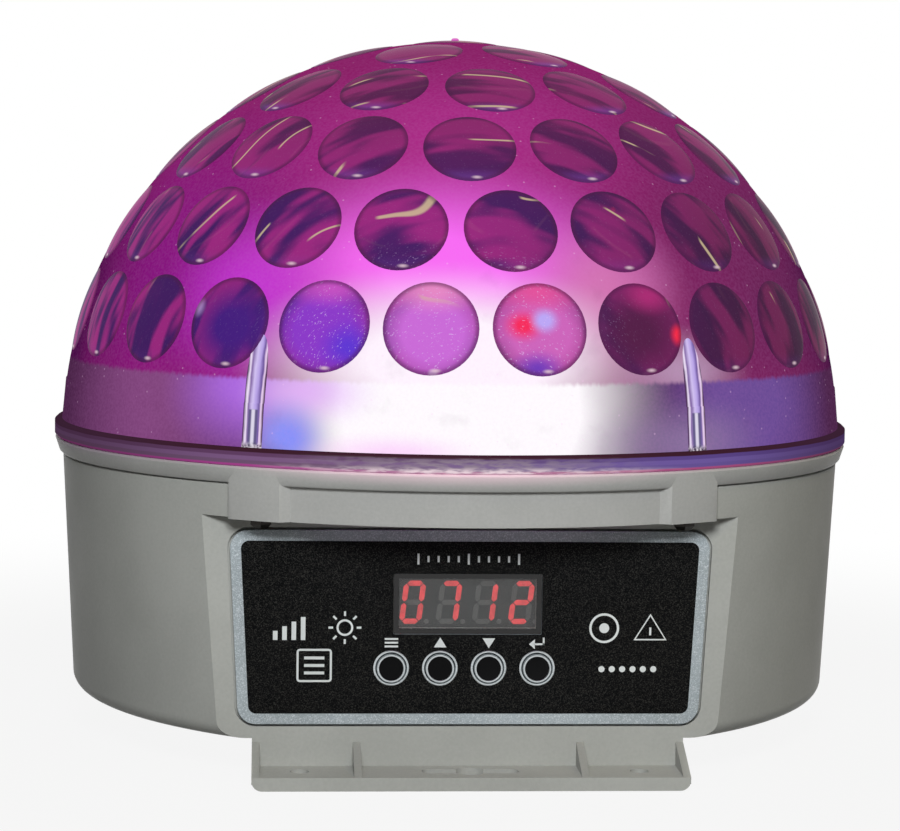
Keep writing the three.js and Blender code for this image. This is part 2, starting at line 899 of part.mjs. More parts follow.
// The sphere's outer skin: a hull of points on the sphere that ring each lens twice.
// The inner ring and the middle of each lens are then lifted, so that the lens stands proud.
function lensSkin() {
  const rim = Math.asin(lens.radius / dome.radius);
  const root = Math.asin((lens.radius + lens.flank) / dome.radius);
  const directions = lensDirections();
  const points = directions.flatMap((direction) => [
    ...ringAround(direction, root),
    ...ringAround(direction, rim),
    direction.clone().multiplyScalar(dome.radius),
  ]);
  for (let i = 0; i < facets.shell; i += 1) {
    const angle = (i * 2 * Math.PI) / facets.shell;
    const x = skirtTopRadius * Math.sin(angle);
    const y = skirtTopRadius * Math.cos(angle);
    points.push(new THREE.Vector3(x, y, skirtTop - centre), new THREE.Vector3(x, y, 0));
  }
  const skin = new ConvexGeometry(points);
  const position = skin.getAttribute('position');
  const point = new THREE.Vector3();
  for (let i = 0; i < position.count; i += 1) {
    point.fromBufferAttribute(position, i);
    const angle = Math.min(...directions.map((direction) => point.angleTo(direction)));
    if (angle > (rim + root) / 2) continue;
    point.setLength(dome.radius + (angle < rim / 2 ? lens.crown : lens.step));
    position.setXYZ(i, point.x, point.y, point.z);
  }
  skin.translate(0, 0, centre);
  return solid(skin);
}

function domeOutside() {
  const skirt = turned(
    [
      [0, domeSeat],
      [flangeRadius, domeSeat],
      [flangeRadius, flangeTop],
      [skirtFootRadius, flangeTop],
      [skirtTopRadius + dome.skirtStep, skirtTop],
      [0, skirtTop],
    ],
    facets.shell,
  );
  return skirt.add(lensSkin());
}

function domeInside() {
  const radius = dome.radius - dome.wall;
  const below = domeSeat - fit.overrun;
  return turned([[0, below], [radius, below], ...spherePoints(radius, 0, dome.insideRows)], facets.shell);
}

// The clear columns inside the dome that the screws enter from below
function domeBosses() {
  return domeScrewPlaces.map(([x, y]) =>
    bar(dome.bossRadius, domeSeat, domeSeat + dome.bossHeight, facets.boss, x, y),
  );
}

function lensDome() {
  const outside = domeOutside();
  const shell = outside.subtract(domeInside());
  const bosses = domeBosses().map((boss) => boss.intersect(outside));
  const top = centre + dome.radius;
  const nub = bar(dome.nubRadius, top - dome.wall / 2, top + dome.nubHeight, facets.screw);
  const pilots = domeScrewPlaces.map(([x, y]) =>
    bar(domeScrew.pilotRadius, domeSeat - fit.overrun, domeSeat + domeScrew.pilotDepth, facets.screw, x, y),
  );
  const whole = join([shell, ...bosses, nub]);
  return piece('lens_dome', cut(whole, pilots), 'clearPlastic');
}

// A screw that points up, with its head's bearing face at zero
function screwBody({ shankRadius, headRadius, headHeight, length }) {
  return turned(
    [
      [0, -headHeight],
      [headRadius - headHeight / 2, -headHeight],
      [headRadius, -headHeight / 2],
      [headRadius, 0],
      [shankRadius, 0],
      [shankRadius, length - shankRadius],
      [0, length],
    ],
    facets.screw,
  );
}

const quarterNames = ['front_left', 'front_right', 'rear_left', 'rear_right'];

function domeScrews() {
  return domeScrewPlaces.map(([x, y], i) =>
    at(piece(`dome_screw_${quarterNames[i]}`, screwBody(domeScrew), 'steel'), x, y, lugFoot - fit.seat),
  );
}

function caseScrews() {
  const seat = postTop - caseScrew.postWeb - fit.seat;
  return caseScrewPlaces.map(([x, y], i) =>
    at(piece(`case_screw_${quarterNames[i]}`, screwBody(caseScrew), 'steel'), x, y, seat),
  );
}

// The plate's screws point down.
function plateScrews() {
  return plateScrewPlaces.map(([x, y], i) => {
    const screw = piece(`plate_screw_${quarterNames[i]}`, screwBody(plateScrew), 'steel');
    screw.rotation.x = Math.PI;
    screw.position.set(x, y, plateTop + fit.seat);
    return screw;
  });
}

function controlPanel() {
  const face = plateFace;
  const back = face - panel.thickness;
  const plate = prism(panelOutline(0), back, face, steps.corner);
  const window = roundedRectangle(
    display.width + 2 * fit.seat,
    display.height + 2 * fit.seat,
    display.paneCorner,
    display.shift,
    display.rise,
  );
  const tools = [prism(window, back - fit.overrun, face + fit.overrun, steps.sharp)];
  const holeRadius = button.capRadius + button.gap;
  for (const x of buttonShifts()) {
    tools.push(bar(holeRadius, back - fit.overrun, face + fit.overrun, facets.round, x, button.rise));
  }
  return piece('control_panel', cut(plate, tools), 'blackPanel');
}

function displayWindow() {
  const face = plateFace - display.paneSink;
  const { width, height, paneCorner, shift, rise } = display;
  const shape = roundedRectangle(width, height, paneCorner, shift, rise);
  return piece('display_window', prism(shape, face - display.paneThickness, face, steps.sharp), 'smokedPane');
}

// The display's body stands off the board behind the opening in the wall.
function displayModule() {
  const halfWidth = display.width / 2 - display.paneLedge + display.moduleMargin;
  const halfHeight = display.height / 2 - display.paneLedge + display.moduleMargin;
  const back = moduleFace - display.moduleDepth;
  const body = block(
    display.shift - halfWidth,
    display.shift + halfWidth,
    display.rise - halfHeight,
    display.rise + halfHeight,
    back,
    moduleFace,
  );
  return piece('display_module', body, 'displayBody');
}

// A button drawn with its face up. Zero is the face of the panel plate.
function buttonBody() {
  const collarTop = wallBack - fit.slip - plateFace;
  const collarFoot = collarTop - button.collarThickness;
  const switchTop = boardFace + fit.seat + tactSwitch.height - plateFace;
  return turned(
    [
      [0, switchTop - tactSwitch.stemInset],
      [button.stemRadius, switchTop - tactSwitch.stemInset],
      [button.stemRadius, collarFoot],
      [button.collarRadius, collarFoot],
      [button.collarRadius, collarTop],
      [button.capRadius, collarTop],
      [button.capRadius, button.proud - button.bevel],
      [button.faceRadius, button.proud],
      [0, button.proud],
    ],
    facets.boss,
  );
}

function pushButtons() {
  return buttonShifts().map((x, i) =>
    at(piece(`button_${button.names[i]}`, buttonBody(), 'buttonCap'), x, button.rise, plateFace),
  );
}

function tactSwitches() {
  const half = tactSwitch.width / 2;
  const seat = boardFace + fit.seat;
  const wellDepth = tactSwitch.stemInset + button.travel + tactSwitch.wellGap;
  const body = block(-half, half, -half, half, 0, tactSwitch.height);
  const well = bar(
    tactSwitch.wellRadius,
    tactSwitch.height - wellDepth,
    tactSwitch.height + fit.overrun,
    facets.boss,
  );
  return buttonShifts().map((x, i) =>
    at(piece(`tact_switch_${i + 1}`, body.subtract(well), 'blackPlastic'), x, button.rise, seat),
  );
}

function controlBoardPiece() {
  const back = boardFace - controlBoard.thickness;
  const halfWidth = controlBoardWidth / 2;
  const halfHeight = controlBoard.height / 2;
  const middle = controlBoard.rise;
  const plate = block(-halfWidth, halfWidth, middle - halfHeight, middle + halfHeight, back, boardFace);
  const chipHalf = controlBoard.chipWidth / 2;
  const chip = block(
    -chipHalf,
    chipHalf,
    middle - chipHalf,
    middle + chipHalf,
    back - controlBoard.chipHeight,
    back + controlBoard.thickness / 2,
  );
  const holeRadius = controlBoard.pinRadius + fit.slip;
  const tools = controlBoardCorners().map(([x, y]) =>
    bar(holeRadius, back - fit.overrun, boardFace + fit.overrun, facets.screw, x, middle + y),
  );
  return piece('control_board', cut(plate.add(chip), tools), 'board');
}

// What sits on the front flat, drawn face up with X to the right and Y up
function frontAssembly() {
  const holder = group([
    controlPanel(),
    displayWindow(),
    displayModule(),
    ...pushButtons(),
    ...tactSwitches(),
    controlBoardPiece(),
  ]);
  holder.rotation.x = Math.PI / 2;
  holder.position.z = panelFoot;
  return holder;
}

function powerInlet() {
  const face = flatDistance + fit.seat + inlet.flangeThickness;
  const seat = flatDistance + fit.seat;
  const outline = (width, height) =>
    roundedRectangle(width, height, inlet.flangeCorner, inlet.shift, inlet.height);
  const flange = outline(inlet.flangeWidth, inlet.flangeHeight);
  const body = outline(inlet.bodyWidth, inlet.bodyHeight);
  const well = outline(inlet.wellWidth, inlet.wellHeight);
  const wellFloor = face - inlet.wellDepth;
  const shell = cut(
    join([
      prism(flange, seat, face, steps.corner),
      prism(body, face - inlet.bodyDepth, face - fit.seat, steps.corner),
    ]),
    [prism(well, wellFloor, face + fit.overrun, steps.corner)],
  );
  const pinPlaces = [
    [inlet.shift - inlet.pinSpacing / 2, inlet.height],
    [inlet.shift, inlet.height + inlet.earthRise],
    [inlet.shift + inlet.pinSpacing / 2, inlet.height],
  ];
  const pins = pinPlaces.map(([x, y]) =>
    block(
      x - inlet.pinWidth / 2,
      x + inlet.pinWidth / 2,
      y - inlet.pinHeight / 2,
      y + inlet.pinHeight / 2,
      face - inlet.bodyDepth - inlet.tabLength,
      wellFloor + inlet.pinLength,
    ),
  );
  return piece('power_inlet', join([shell, ...pins]), 'blackPlastic');
}

// Places of the three poles round a socket's axis
function polePlaces(shift) {
  return [0, 1, 2].map((i) => {
    const angle = Math.PI / 2 + (i * 2 * Math.PI) / 3;
    return [shift + socket.pinCircle * Math.cos(angle), socket.height + socket.pinCircle * Math.sin(angle)];
  });
}

function socketShell(shift) {
  const seat = flatDistance + fit.seat;
  const face = seat + socket.flangeThickness;
  const { flangeWidth, flangeHeight, flangeCorner, height } = socket;
  const flange = roundedRectangle(flangeWidth, flangeHeight, flangeCorner, shift, height);
  const barrelFoot = face - socket.barrelDepth;
  const barrel = bar(socket.barrelRadius, barrelFoot, face - fit.seat, facets.round, shift, height);
  const wellFloor = face - socket.wellDepth;
  const well = bar(socket.wellRadius, wellFloor, face + fit.overrun, facets.round, shift, height);
  return cut(prism(flange, seat, face, steps.corner).add(barrel), [well]);
}

function controlSocketIn() {
  const face = flatDistance + fit.seat + socket.flangeThickness;
  const wellFloor = face - socket.wellDepth;
  const pins = polePlaces(socket.inShift).map(([x, y]) =>
    bar(socket.pinRadius, wellFloor - fit.overrun, wellFloor + socket.pinLength, facets.screw, x, y),
  );
  return piece('dmx_in_socket', join([socketShell(socket.inShift), ...pins]), 'blackPlastic');
}

function controlSocketOut() {
  const face = flatDistance + fit.seat + socket.flangeThickness;
  const wellFloor = face - socket.wellDepth;
  const plugFoot = wellFloor - fit.overrun;
  const plug = bar(socket.plugRadius, plugFoot, face, facets.round, socket.outShift, socket.height);
  const contacts = polePlaces(socket.outShift).map(([x, y]) =>
    bar(socket.contactRadius, face - socket.contactDepth, face + fit.overrun, facets.screw, x, y),
  );
  const latchY = socket.height + socket.wellRadius + socket.latchHeight / 2;
  const latch = block(
    socket.outShift - socket.latchWidth / 2,
    socket.outShift + socket.latchWidth / 2,
    latchY - socket.latchHeight / 2,
    latchY + socket.latchHeight / 2,
    face - socket.flangeThickness / 2,
    face + socket.flangeThickness / 2,
  );
  const whole = join([socketShell(socket.outShift), cut(plug, contacts), latch]);
  return piece('dmx_out_socket', whole, 'blackPlastic');
}

function microphonePiece() {
  const front = wallBack - fit.seat;
  const { radius, depth, shift, height } = microphone;
  const body = bar(radius, front - depth, front, facets.boss, shift, height);
  return piece('microphone', body, 'aluminium');
}

// What sits in the rear flat, drawn face up, turned to the front and then half round
function rearAssembly() {
  const holder = group([powerInlet(), controlSocketIn(), controlSocketOut(), microphonePiece()]);
  holder.rotation.x = Math.PI / 2;
  const turnedRound = group([holder]);
  turnedRound.rotation.z = Math.PI;
  return turnedRound;
}

function chassisPlate() {
  const flat = wallBack - chassis.flatGap;
  const disc = bar(chassisRadius, plateFoot, plateTop, facets.shell);
  const band = block(-chassisRadius, chassisRadius, -flat, flat, plateFoot, plateTop);
  const low = plateFoot - fit.overrun;
  const high = plateTop + fit.overrun;
  const hub = bar(chassis.hubHole, low, high, facets.round);
  const holeRadius = plateScrew.shankRadius + plateScrew.clearance;
  const holes = plateScrewPlaces.map(([x, y]) => bar(holeRadius, low, high, facets.screw, x, y));
  return piece('chassis_plate', cut(disc.intersect(band), [hub, ...holes]), 'aluminium');
}

function ledBoard() {
  const ringPlate = turned(
    [
      [lamp.boardInner, lampBoardFoot],
      [lamp.boardOuter, lampBoardFoot],
      [lamp.boardOuter, lampBoardTop],
      [lamp.boardInner, lampBoardTop],
      [lamp.boardInner, lampBoardFoot],
    ],
    facets.round,
  );
  return piece('led_board', ringPlate, 'aluminium');
}

// A light source with its square carrier and its small round lens
function ledBody() {
  const half = lamp.width / 2;
  const carrier = block(-half, half, -half, half, 0, lamp.baseHeight);
  const top = lamp.baseHeight + lamp.domeRadius;
  const bulb = cone(lamp.domeRadius, lamp.domeRadius / 2, lamp.baseHeight / 2, top, facets.screw);
  return carrier.add(bulb);
}

// A collimating lens: a cone with a rim, and a well in its foot over the light source
function ledLensBody() {
  const bowl = turned(
    [
      [0, 0],
      [lamp.lensFootRadius, 0],
      [lamp.lensTopRadius, lamp.lensHeight - lamp.lensRim],
      [lamp.lensTopRadius, lamp.lensHeight],
      [0, lamp.lensHeight],
    ],
    facets.boss,
  );
  const well = bar(lamp.wellRadius, -fit.overrun, lamp.wellDepth, facets.screw);
  return bowl.subtract(well);
}

function lightSources() {
  const seat = lampBoardTop + fit.seat;
  return Array.from({ length: lamp.count }, (_, i) => {
    const turn = (i * 2 * Math.PI) / lamp.count;
    const led = at(piece(`led_${i + 1}`, ledBody(), 'ledWhite'), 0, -lamp.circle, seat);
    const cover = at(piece(`led_lens_${i + 1}`, ledLensBody(), 'wheelPlastic'), 0, -lamp.circle, seat);
    const holder = group([led, cover]);
    holder.rotation.z = turn;
    return holder;
  });
}

// The motor hangs under the plate on two ears, its collar up through the plate's hole.
function gearMotor() {
  const top = plateFoot - fit.seat;
  const can = bar(motor.radius, top - motor.height, top, facets.round);
  const ears = block(
    -motor.radius - motor.earReach,
    motor.radius + motor.earReach,
    -motor.earReach,
    motor.earReach,
    top - motor.earThickness,
    top,
  );
  const collar = bar(motor.collarRadius, top - fit.overrun, plateTop + motor.collarHeight, facets.round);
  const high = plateTop + motor.collarHeight + fit.overrun;
  const bore = bar(motor.boreRadius, high - motor.boreDepth, high, facets.round);
  return piece('gear_motor', cut(join([can, ears, collar]), [bore]), 'steel');
}

const shaftFoot = plateTop + motor.collarHeight + fit.overrun - motor.boreDepth + fit.seat;
const hubFoot = wheelFoot + wheel.thickness - wheel.hubHeight;
const shaftFlangeTop = hubFoot - fit.seat;
const shaftTop = wheelFoot + wheel.thickness + wheel.cupHeight;

function motorShaft() {
  const profile = turned(
    [
      [0, shaftFoot],
      [motor.shaftRadius, shaftFoot],
      [motor.shaftRadius, shaftFlangeTop - motor.shaftFlangeHeight],
      [motor.shaftFlangeRadius, shaftFlangeTop - motor.shaftFlangeHeight],
      [motor.shaftFlangeRadius, shaftFlangeTop],
      [motor.shaftRadius, shaftFlangeTop],
      [motor.shaftRadius, shaftTop],
      [0, shaftTop],
    ],
    facets.boss,
  );
  const pilotFoot = shaftTop - wheelScrew.length - fit.seat;
  const pilot = bar(wheelScrew.pilotRadius, pilotFoot, shaftTop + fit.overrun, facets.screw);
  return piece('motor_shaft', profile.subtract(pilot), 'steel');
}

// A clear disc with a turned-down rim, a hub and a ring of lens cups
function effectWheel() {
  const top = wheelFoot + wheel.thickness;
  const disc = turned(
    [
      [0, wheelFoot],
      [wheel.radius - wheel.rimWall, wheelFoot],
      [wheel.radius - wheel.rimWall, top - wheel.rimDrop],
      [wheel.radius, top - wheel.rimDrop],
      [wheel.radius, top],
      [0, top],
    ],
    facets.shell / 2,
  );
  const hub = bar(wheel.hubRadius, hubFoot, shaftTop - fit.seat, facets.boss);
  const cups = Array.from({ length: wheel.cupCount }, (_, i) => {
    const angle = (i * 2 * Math.PI) / wheel.cupCount;
    const x = wheel.cupCircle * Math.cos(angle);
    const y = wheel.cupCircle * Math.sin(angle);
    const foot = top - wheel.thickness / 2;
    return cone(wheel.cupRadius, wheel.cupTopRadius, foot, top + wheel.cupHeight, facets.boss, x, y);
  });
  const bore = bar(wheel.boreRadius, hubFoot - fit.overrun, shaftTop + fit.overrun, facets.boss);
  return piece('effect_wheel', cut(join([disc, hub, ...cups]), [bore]), 'wheelPlastic');
}

function wheelScrewPiece() {
  const screw = piece('wheel_screw', screwBody(wheelScrew), 'steel');
  screw.rotation.x = Math.PI;
  screw.position.z = shaftTop + fit.seat;
  return screw;
}

function powerBoard() {
  const top = powerBoardFoot + power.thickness;
  const halfWidth = power.width / 2;
  const halfDepth = power.depth / 2;
  const plate = block(-halfWidth, halfWidth, -halfDepth, halfDepth, powerBoardFoot, top);
  const inset = 2 * power.legInset;
  const root = powerBoardFoot + power.thickness / 2;
  const capTop = top + power.capHeight;
  const sinkBack = halfWidth - inset;
  const plugTop = top + power.connectorHeight;
  const plugBack = halfDepth - power.legInset;
  const plugFront = plugBack - power.connectorWidth / 2;
  const parts = [
    bar(power.capRadius, root, capTop, facets.boss, inset, inset),
    bar(power.capRadius, root, capTop, facets.boss, inset, -inset),
    block(sinkBack - power.sinkThickness, sinkBack, -inset, inset, root, top + power.sinkHeight),
    block(-power.connectorWidth, power.connectorWidth, plugFront, plugBack, root, plugTop),
  ];
  const holeRadius = power.pinRadius + fit.slip;
  const holes = powerBoardCorners().map(([x, y]) =>
    bar(holeRadius, powerBoardFoot - fit.overrun, top + fit.overrun, facets.screw, x, y),
  );
  return piece('power_board', cut(join([plate, ...parts]), holes), 'board');
}

// Coil and core of the transformer, standing on the power board
function powerTransformer() {
  const foot = powerBoardFoot + power.thickness + fit.seat;
  const halfWidth = power.transformerWidth / 2;
  const halfDepth = power.transformerDepth / 2;
  const top = foot + power.transformerHeight;
  const core = block(-halfWidth, halfWidth, -halfDepth / 2, halfDepth / 2, foot, top);
  const coil = block(
    power.coilMargin - halfWidth,
    halfWidth - power.coilMargin,
    -halfDepth,
    halfDepth,
    foot,
    foot + power.transformerHeight * power.coreShare,
  );
  const left = power.coilMargin + halfWidth - power.width / 2 + power.legInset;
  return at(piece('power_transformer', core.add(coil), 'coil'), left, 0, 0);
}

const domeLight = group([
  baseHousing(),
  bezelRing(),
  lensDome(),
  ...domeScrews(),
  ...caseScrews(),
  frontAssembly(),
  rearAssembly(),
  chassisPlate(),
  ...plateScrews(),
  ledBoard(),
  ...lightSources(),
  gearMotor(),
  motorShaft(),
  effectWheel(),
  wheelScrewPiece(),
  powerBoard(),
  powerTransformer(),
]);
domeLight.name = 'dome_light';

export default domeLight;
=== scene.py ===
"""Looks of the LED dome light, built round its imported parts."""

import logging
import math
from contextlib import contextmanager
from dataclasses import dataclass
from enum import Enum
from typing import Callable, Iterator, Sequence

import bpy
from mathutils import Matrix, Vector


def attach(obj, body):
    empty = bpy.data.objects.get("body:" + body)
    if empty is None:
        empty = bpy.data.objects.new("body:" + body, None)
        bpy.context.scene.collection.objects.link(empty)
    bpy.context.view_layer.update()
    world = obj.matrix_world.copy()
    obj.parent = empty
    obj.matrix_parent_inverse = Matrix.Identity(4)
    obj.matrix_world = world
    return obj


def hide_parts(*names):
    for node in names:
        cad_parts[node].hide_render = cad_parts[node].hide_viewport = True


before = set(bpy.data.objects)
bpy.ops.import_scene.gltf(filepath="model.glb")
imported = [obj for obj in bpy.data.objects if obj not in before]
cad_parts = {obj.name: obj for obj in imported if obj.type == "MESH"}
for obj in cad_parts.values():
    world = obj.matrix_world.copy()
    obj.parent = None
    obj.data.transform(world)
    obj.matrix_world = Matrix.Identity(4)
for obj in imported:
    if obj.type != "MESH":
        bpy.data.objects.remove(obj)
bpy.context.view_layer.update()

LOG = logging.getLogger("dome_light")
MM = 0.001
MERGE = 0.002 * MM
SHELL_STEPS = 160

Piece = bpy.types.Object
Node = bpy.types.Node
Socket = bpy.types.NodeSocket
Outputs = bpy.types.NodeOutputs
Colour = tuple[float, float, float, float]
Triple = tuple[float, float, float]
Flat = tuple[float, float]
Chooser = Callable[[Vector, Vector], int]

WHITE = (1.0, 1.0, 1.0, 1.0)


class Body(Enum):
    """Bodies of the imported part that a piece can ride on."""

    HOUSING = "housing"
    MENU = "menu_button"
    UP = "up_button"
    DOWN = "down_button"
    ENTER = "enter_button"


class Slot(Enum):
    """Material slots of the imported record."""

    HOUSING = "white_housing"
    RING = "white_ring"
    DOME = "frosted_dome"
    PANEL = "panel_plate"
    PANE = "display_pane"
    DISPLAY = "display_body"
    BUTTON = "button_plastic"
    STEEL = "screw_steel"
    BOARD = "circuit_board"
    ALUMINIUM = "sheet_aluminium"
    LED = "led_body"
    OPTICS = "clear_optics"
    BLACK = "black_plastic"
    MOTOR = "motor_steel"
    COIL = "transformer_coil"


class Facing(Enum):
    """Planes that an outline is drawn in: its across, up and outward directions."""

    TOP = ((1, 0, 0), (0, 1, 0), (0, 0, 1))
    FRONT = ((1, 0, 0), (0, 0, 1), (0, -1, 0))
    REAR = ((-1, 0, 0), (0, 0, 1), (0, 1, 0))
    RIGHT = ((0, 1, 0), (0, 0, 1), (1, 0, 0))


class Operation(Enum):
    """Ways to combine two bodies."""

    CUT = "DIFFERENCE"
    JOIN = "UNION"
    KEEP = "INTERSECT"


def shade(red: float, green: float, blue: float) -> Colour:
    """Turns display values from 0 to 255 into a linear colour.

    Args:
        red: The red value.
        green: The green value.
        blue: The blue value.

    Returns:
        The linear colour with full alpha.
    """
    parts = []
    for value in (red, green, blue):
        part = value / 255
        parts.append(part / 12.92 if part <= 0.04045 else ((part + 0.055) / 1.055) ** 2.4)
    return (parts[0], parts[1], parts[2], 1.0)


# Modelling


def choose(*pieces: Piece) -> None:
    """Selects these pieces alone and makes the first one active."""
    bpy.ops.object.select_all(action="DESELECT")
    for piece in pieces:
        piece.select_set(True)
    bpy.context.view_layer.objects.active = pieces[0]


def adopt(name: str) -> Piece:
    """Names the object that an operator has just added.

    Args:
        name: The new name of the object and its mesh.

    Returns:
        The object.
    """
    piece = bpy.context.active_object
    piece.name = name
    piece.data.name = name
    return piece


@contextmanager
def editing(piece: Piece) -> Iterator[None]:
    """Holds a piece in edit mode with all of it selected.

    Args:
        piece: The piece. It is back in object mode afterwards.
    """
    choose(piece)
    bpy.ops.object.mode_set(mode="EDIT")
    bpy.ops.mesh.select_all(action="SELECT")
    yield
    bpy.ops.object.mode_set(mode="OBJECT")


def draw_line(name: str, points: Sequence[Vector]) -> Piece:
    """Draws a line by extruding one vertex from point to point.

    Args:
        name: The name of the new object.
        points: The points that the line joins, in metres.

    Returns:
        The object that holds the line.
    """
    bpy.ops.object.select_all(action="DESELECT")
    bpy.ops.mesh.primitive_plane_add(size=MM, location=points[0])
    line = adopt(name)
    with editing(line):
        bpy.ops.mesh.merge(type="CENTER")
        for here, there in zip(points, points[1:]):
            move = {"value": tuple(there - here)}
            bpy.ops.mesh.extrude_vertices_move(TRANSFORM_OT_translate=move)
    settle(line)
    return line


def settle(piece: Piece) -> None:
    """Moves a piece's place, turn and size into its mesh."""
    choose(piece)
    bpy.ops.object.transform_apply(location=True, rotation=True, scale=True)


def close_up(piece: Piece) -> None:
    """Merges doubled vertices and turns all faces outwards.

    Args:
        piece: The piece that changes.
    """
    with editing(piece):
        bpy.ops.mesh.remove_doubles(threshold=MERGE)
        bpy.ops.mesh.normals_make_consistent(inside=False)


def spun(name: str, profile: Sequence[Flat], steps: int = SHELL_STEPS) -> Piece:
    """Spins a closed profile round the vertical axis.

    Args:
        name: The name of the new object.
        profile: Radius and height of each corner, in metres. It closes on itself or on the axis.
        steps: The number of steps round a full turn.

    Returns:
        The spun body.
    """
    points = [Vector((radius, 0, height)) for radius, height in profile]
    if profile[0][0] > 0:
        points.append(points[0].copy())
    body = draw_line(name, points)
    with editing(body):
        bpy.ops.mesh.spin(steps=steps, angle=math.tau, center=(0, 0, 0), axis=(0, 0, 1))
    close_up(body)
    return body


def prism(name: str, outline: Sequence[Flat], facing: Facing, low: float, high: float) -> Piece:
    """Raises an outline into a body with flat ends.

    Args:
        name: The name of the new object.
        outline: The corners of the outline in its own plane, in metres.
        facing: The plane that the outline is drawn in.
        low: Where the body starts along the outward direction.
        high: Where it ends.

    Returns:
        The new body.
    """
    across, up, out = (Vector(axis) for axis in facing.value)
    points = [across * a + up * b + out * low for a, b in outline]
    body = draw_line(name, [*points, points[0].copy()])
    with editing(body):
        bpy.ops.mesh.remove_doubles(threshold=MERGE)
        bpy.ops.mesh.edge_face_add()
        lift = {"value": tuple(out * (high - low))}
        bpy.ops.mesh.extrude_region_move(TRANSFORM_OT_translate=lift)
    close_up(body)
    return body


def block(name: str, low: Sequence[float], high: Sequence[float]) -> Piece:
    """Makes a box between two corners, for cutting and joining."""
    outline = [(low[0], low[1]), (high[0], low[1]), (high[0], high[1]), (low[0], high[1])]
    return prism(name, outline, Facing.TOP, low[2], high[2])


def peg(radius: float, depth: float, place: Vector, out: Vector, sides: int) -> Piece:
    """Adds a round bar with its middle at a place and its axis along a direction.

    Args:
        radius: The bar's radius.
        depth: Its length.
        place: Its middle.
        out: The direction of its axis.
        sides: The number of its sides.

    Returns:
        The new bar.
    """
    bpy.ops.object.select_all(action="DESELECT")
    turn = out.to_track_quat("Z", "Y").to_euler()
    bpy.ops.mesh.primitive_cylinder_add(
        vertices=sides, radius=radius, depth=depth, location=place, rotation=turn
    )
    return bpy.context.active_object


def rod(
    name: str,
    radius: float,
    facing: Facing,
    middle: Flat,
    low: float,
    high: float,
    sides: int = 32,
) -> Piece:
    """Makes a round bar that runs along a plane's outward direction.

    Args:
        name: The name of the new object.
        radius: The bar's radius.
        facing: The plane that its circle lies in.
        middle: The circle's middle in that plane.
        low: Where the bar starts along the outward direction.
        high: Where it ends.
        sides: The number of its sides.

    Returns:
        The new bar.
    """
    across, up, out = (Vector(axis) for axis in facing.value)
    place = across * middle[0] + up * middle[1] + out * (low + high) / 2
    peg(radius, abs(high - low), place, out, sides)
    bar = adopt(name)
    settle(bar)
    return bar


def fuse(pieces: Sequence[Piece]) -> Piece:
    """Puts pieces that lie apart into one object, named as the first.

    Args:
        pieces: The pieces, which are used up.

    Returns:
        The one object.
    """
    choose(*pieces)
    if len(pieces) > 1:
        bpy.ops.object.join()
    return bpy.context.view_layer.objects.active


def modify(piece: Piece, kind: str, **settings: object) -> None:
    """Adds a modifier of a kind with these settings to a piece and applies it.

    Args:
        piece: The piece that changes.
        kind: The modifier's type.
        **settings: Values for its properties.
    """
    modifier = piece.modifiers.new(kind, kind)
    for name, value in settings.items():
        setattr(modifier, name, value)
    choose(piece)
    bpy.ops.object.modifier_apply(modifier=modifier.name)


def combine(target: Piece, tools: Sequence[Piece], operation: Operation) -> Piece:
    """Cuts a body by tools, joins them to it, or keeps what they share.

    Args:
        target: The body that changes.
        tools: The bodies that are used up.
        operation: What is done with them.

    Returns:
        The changed body.
    """
    for tool in tools:
        modify(target, "BOOLEAN", operation=operation.value, solver="EXACT", object=tool)
        discard(tool)
    return target


def soften(piece: Piece, width: float, segments: int = 2, angle: float = 40) -> None:
    """Rounds the edges of a piece that are sharper than an angle in degrees."""
    sharp = {"limit_method": "ANGLE", "angle_limit": math.radians(angle)}
    modify(piece, "BEVEL", width=width, segments=segments, **sharp)


def copied(piece: Piece, name: str, matrix: Matrix) -> Piece:
    """Copies a piece with a mesh of its own, placed by a matrix.

    Args:
        piece: The pattern, which stays as it is.
        name: The copy's name.
        matrix: What moves and turns its mesh.

    Returns:
        The copy.
    """
    twin = piece.copy()
    twin.data = piece.data.copy()
    twin.name = name
    bpy.context.scene.collection.objects.link(twin)
    twin.data.transform(matrix)
    return twin


def discard(piece: Piece) -> None:
    """Removes a piece that is used up."""
    bpy.data.objects.remove(piece, do_unlink=True)


def arc(middle: Flat, radius: float, start: float, end: float, steps: int) -> list[Flat]:
    """Returns the points of an arc between two angles in degrees.

    Args:
        middle: The arc's middle.
        radius: Its radius.
        start: The angle of its first point.
        end: The angle of its last point.
        steps: The number of steps between them.
    """
    points = []
    for i in range(steps + 1):
        angle = math.radians(start + (end - start) * i / steps)
        points.append((middle[0] + radius * math.cos(angle), middle[1] + radius * math.sin(angle)))
    return points


def corners(x: float, y: float) -> list[Flat]:
    """Returns the four places that lie this far to either side of both middle lines."""
    return [(side * x, end * y) for side in (-1, 1) for end in (-1, 1)]


def arc_places(middle: Flat, radius: float, turns: Sequence[float]) -> list[Flat]:
    """Returns the places on a circle at these turns in degrees."""
    return [arc(middle, radius, turn, turn, 1)[0] for turn in turns]


def rounded(
    width: float, height: float, corner: float, middle: Flat = (0, 0), steps: int = 6
) -> list[Flat]:
    """Returns the outline of a rectangle with round corners.

    Args:
        width: Its full width.
        height: Its full height.
        corner: The radius of its corners.
        middle: Where its middle lies.
        steps: The number of steps in each corner.
    """
    right, top = width / 2 - corner, height / 2 - corner
    x, y = middle
    return [
        *arc((x + right, y + top), corner, 0, 90, steps),
        *arc((x - right, y + top), corner, 90, 180, steps),
        *arc((x - right, y - top), corner, 180, 270, steps),
        *arc((x + right, y - top), corner, 270, 360, steps),
    ]


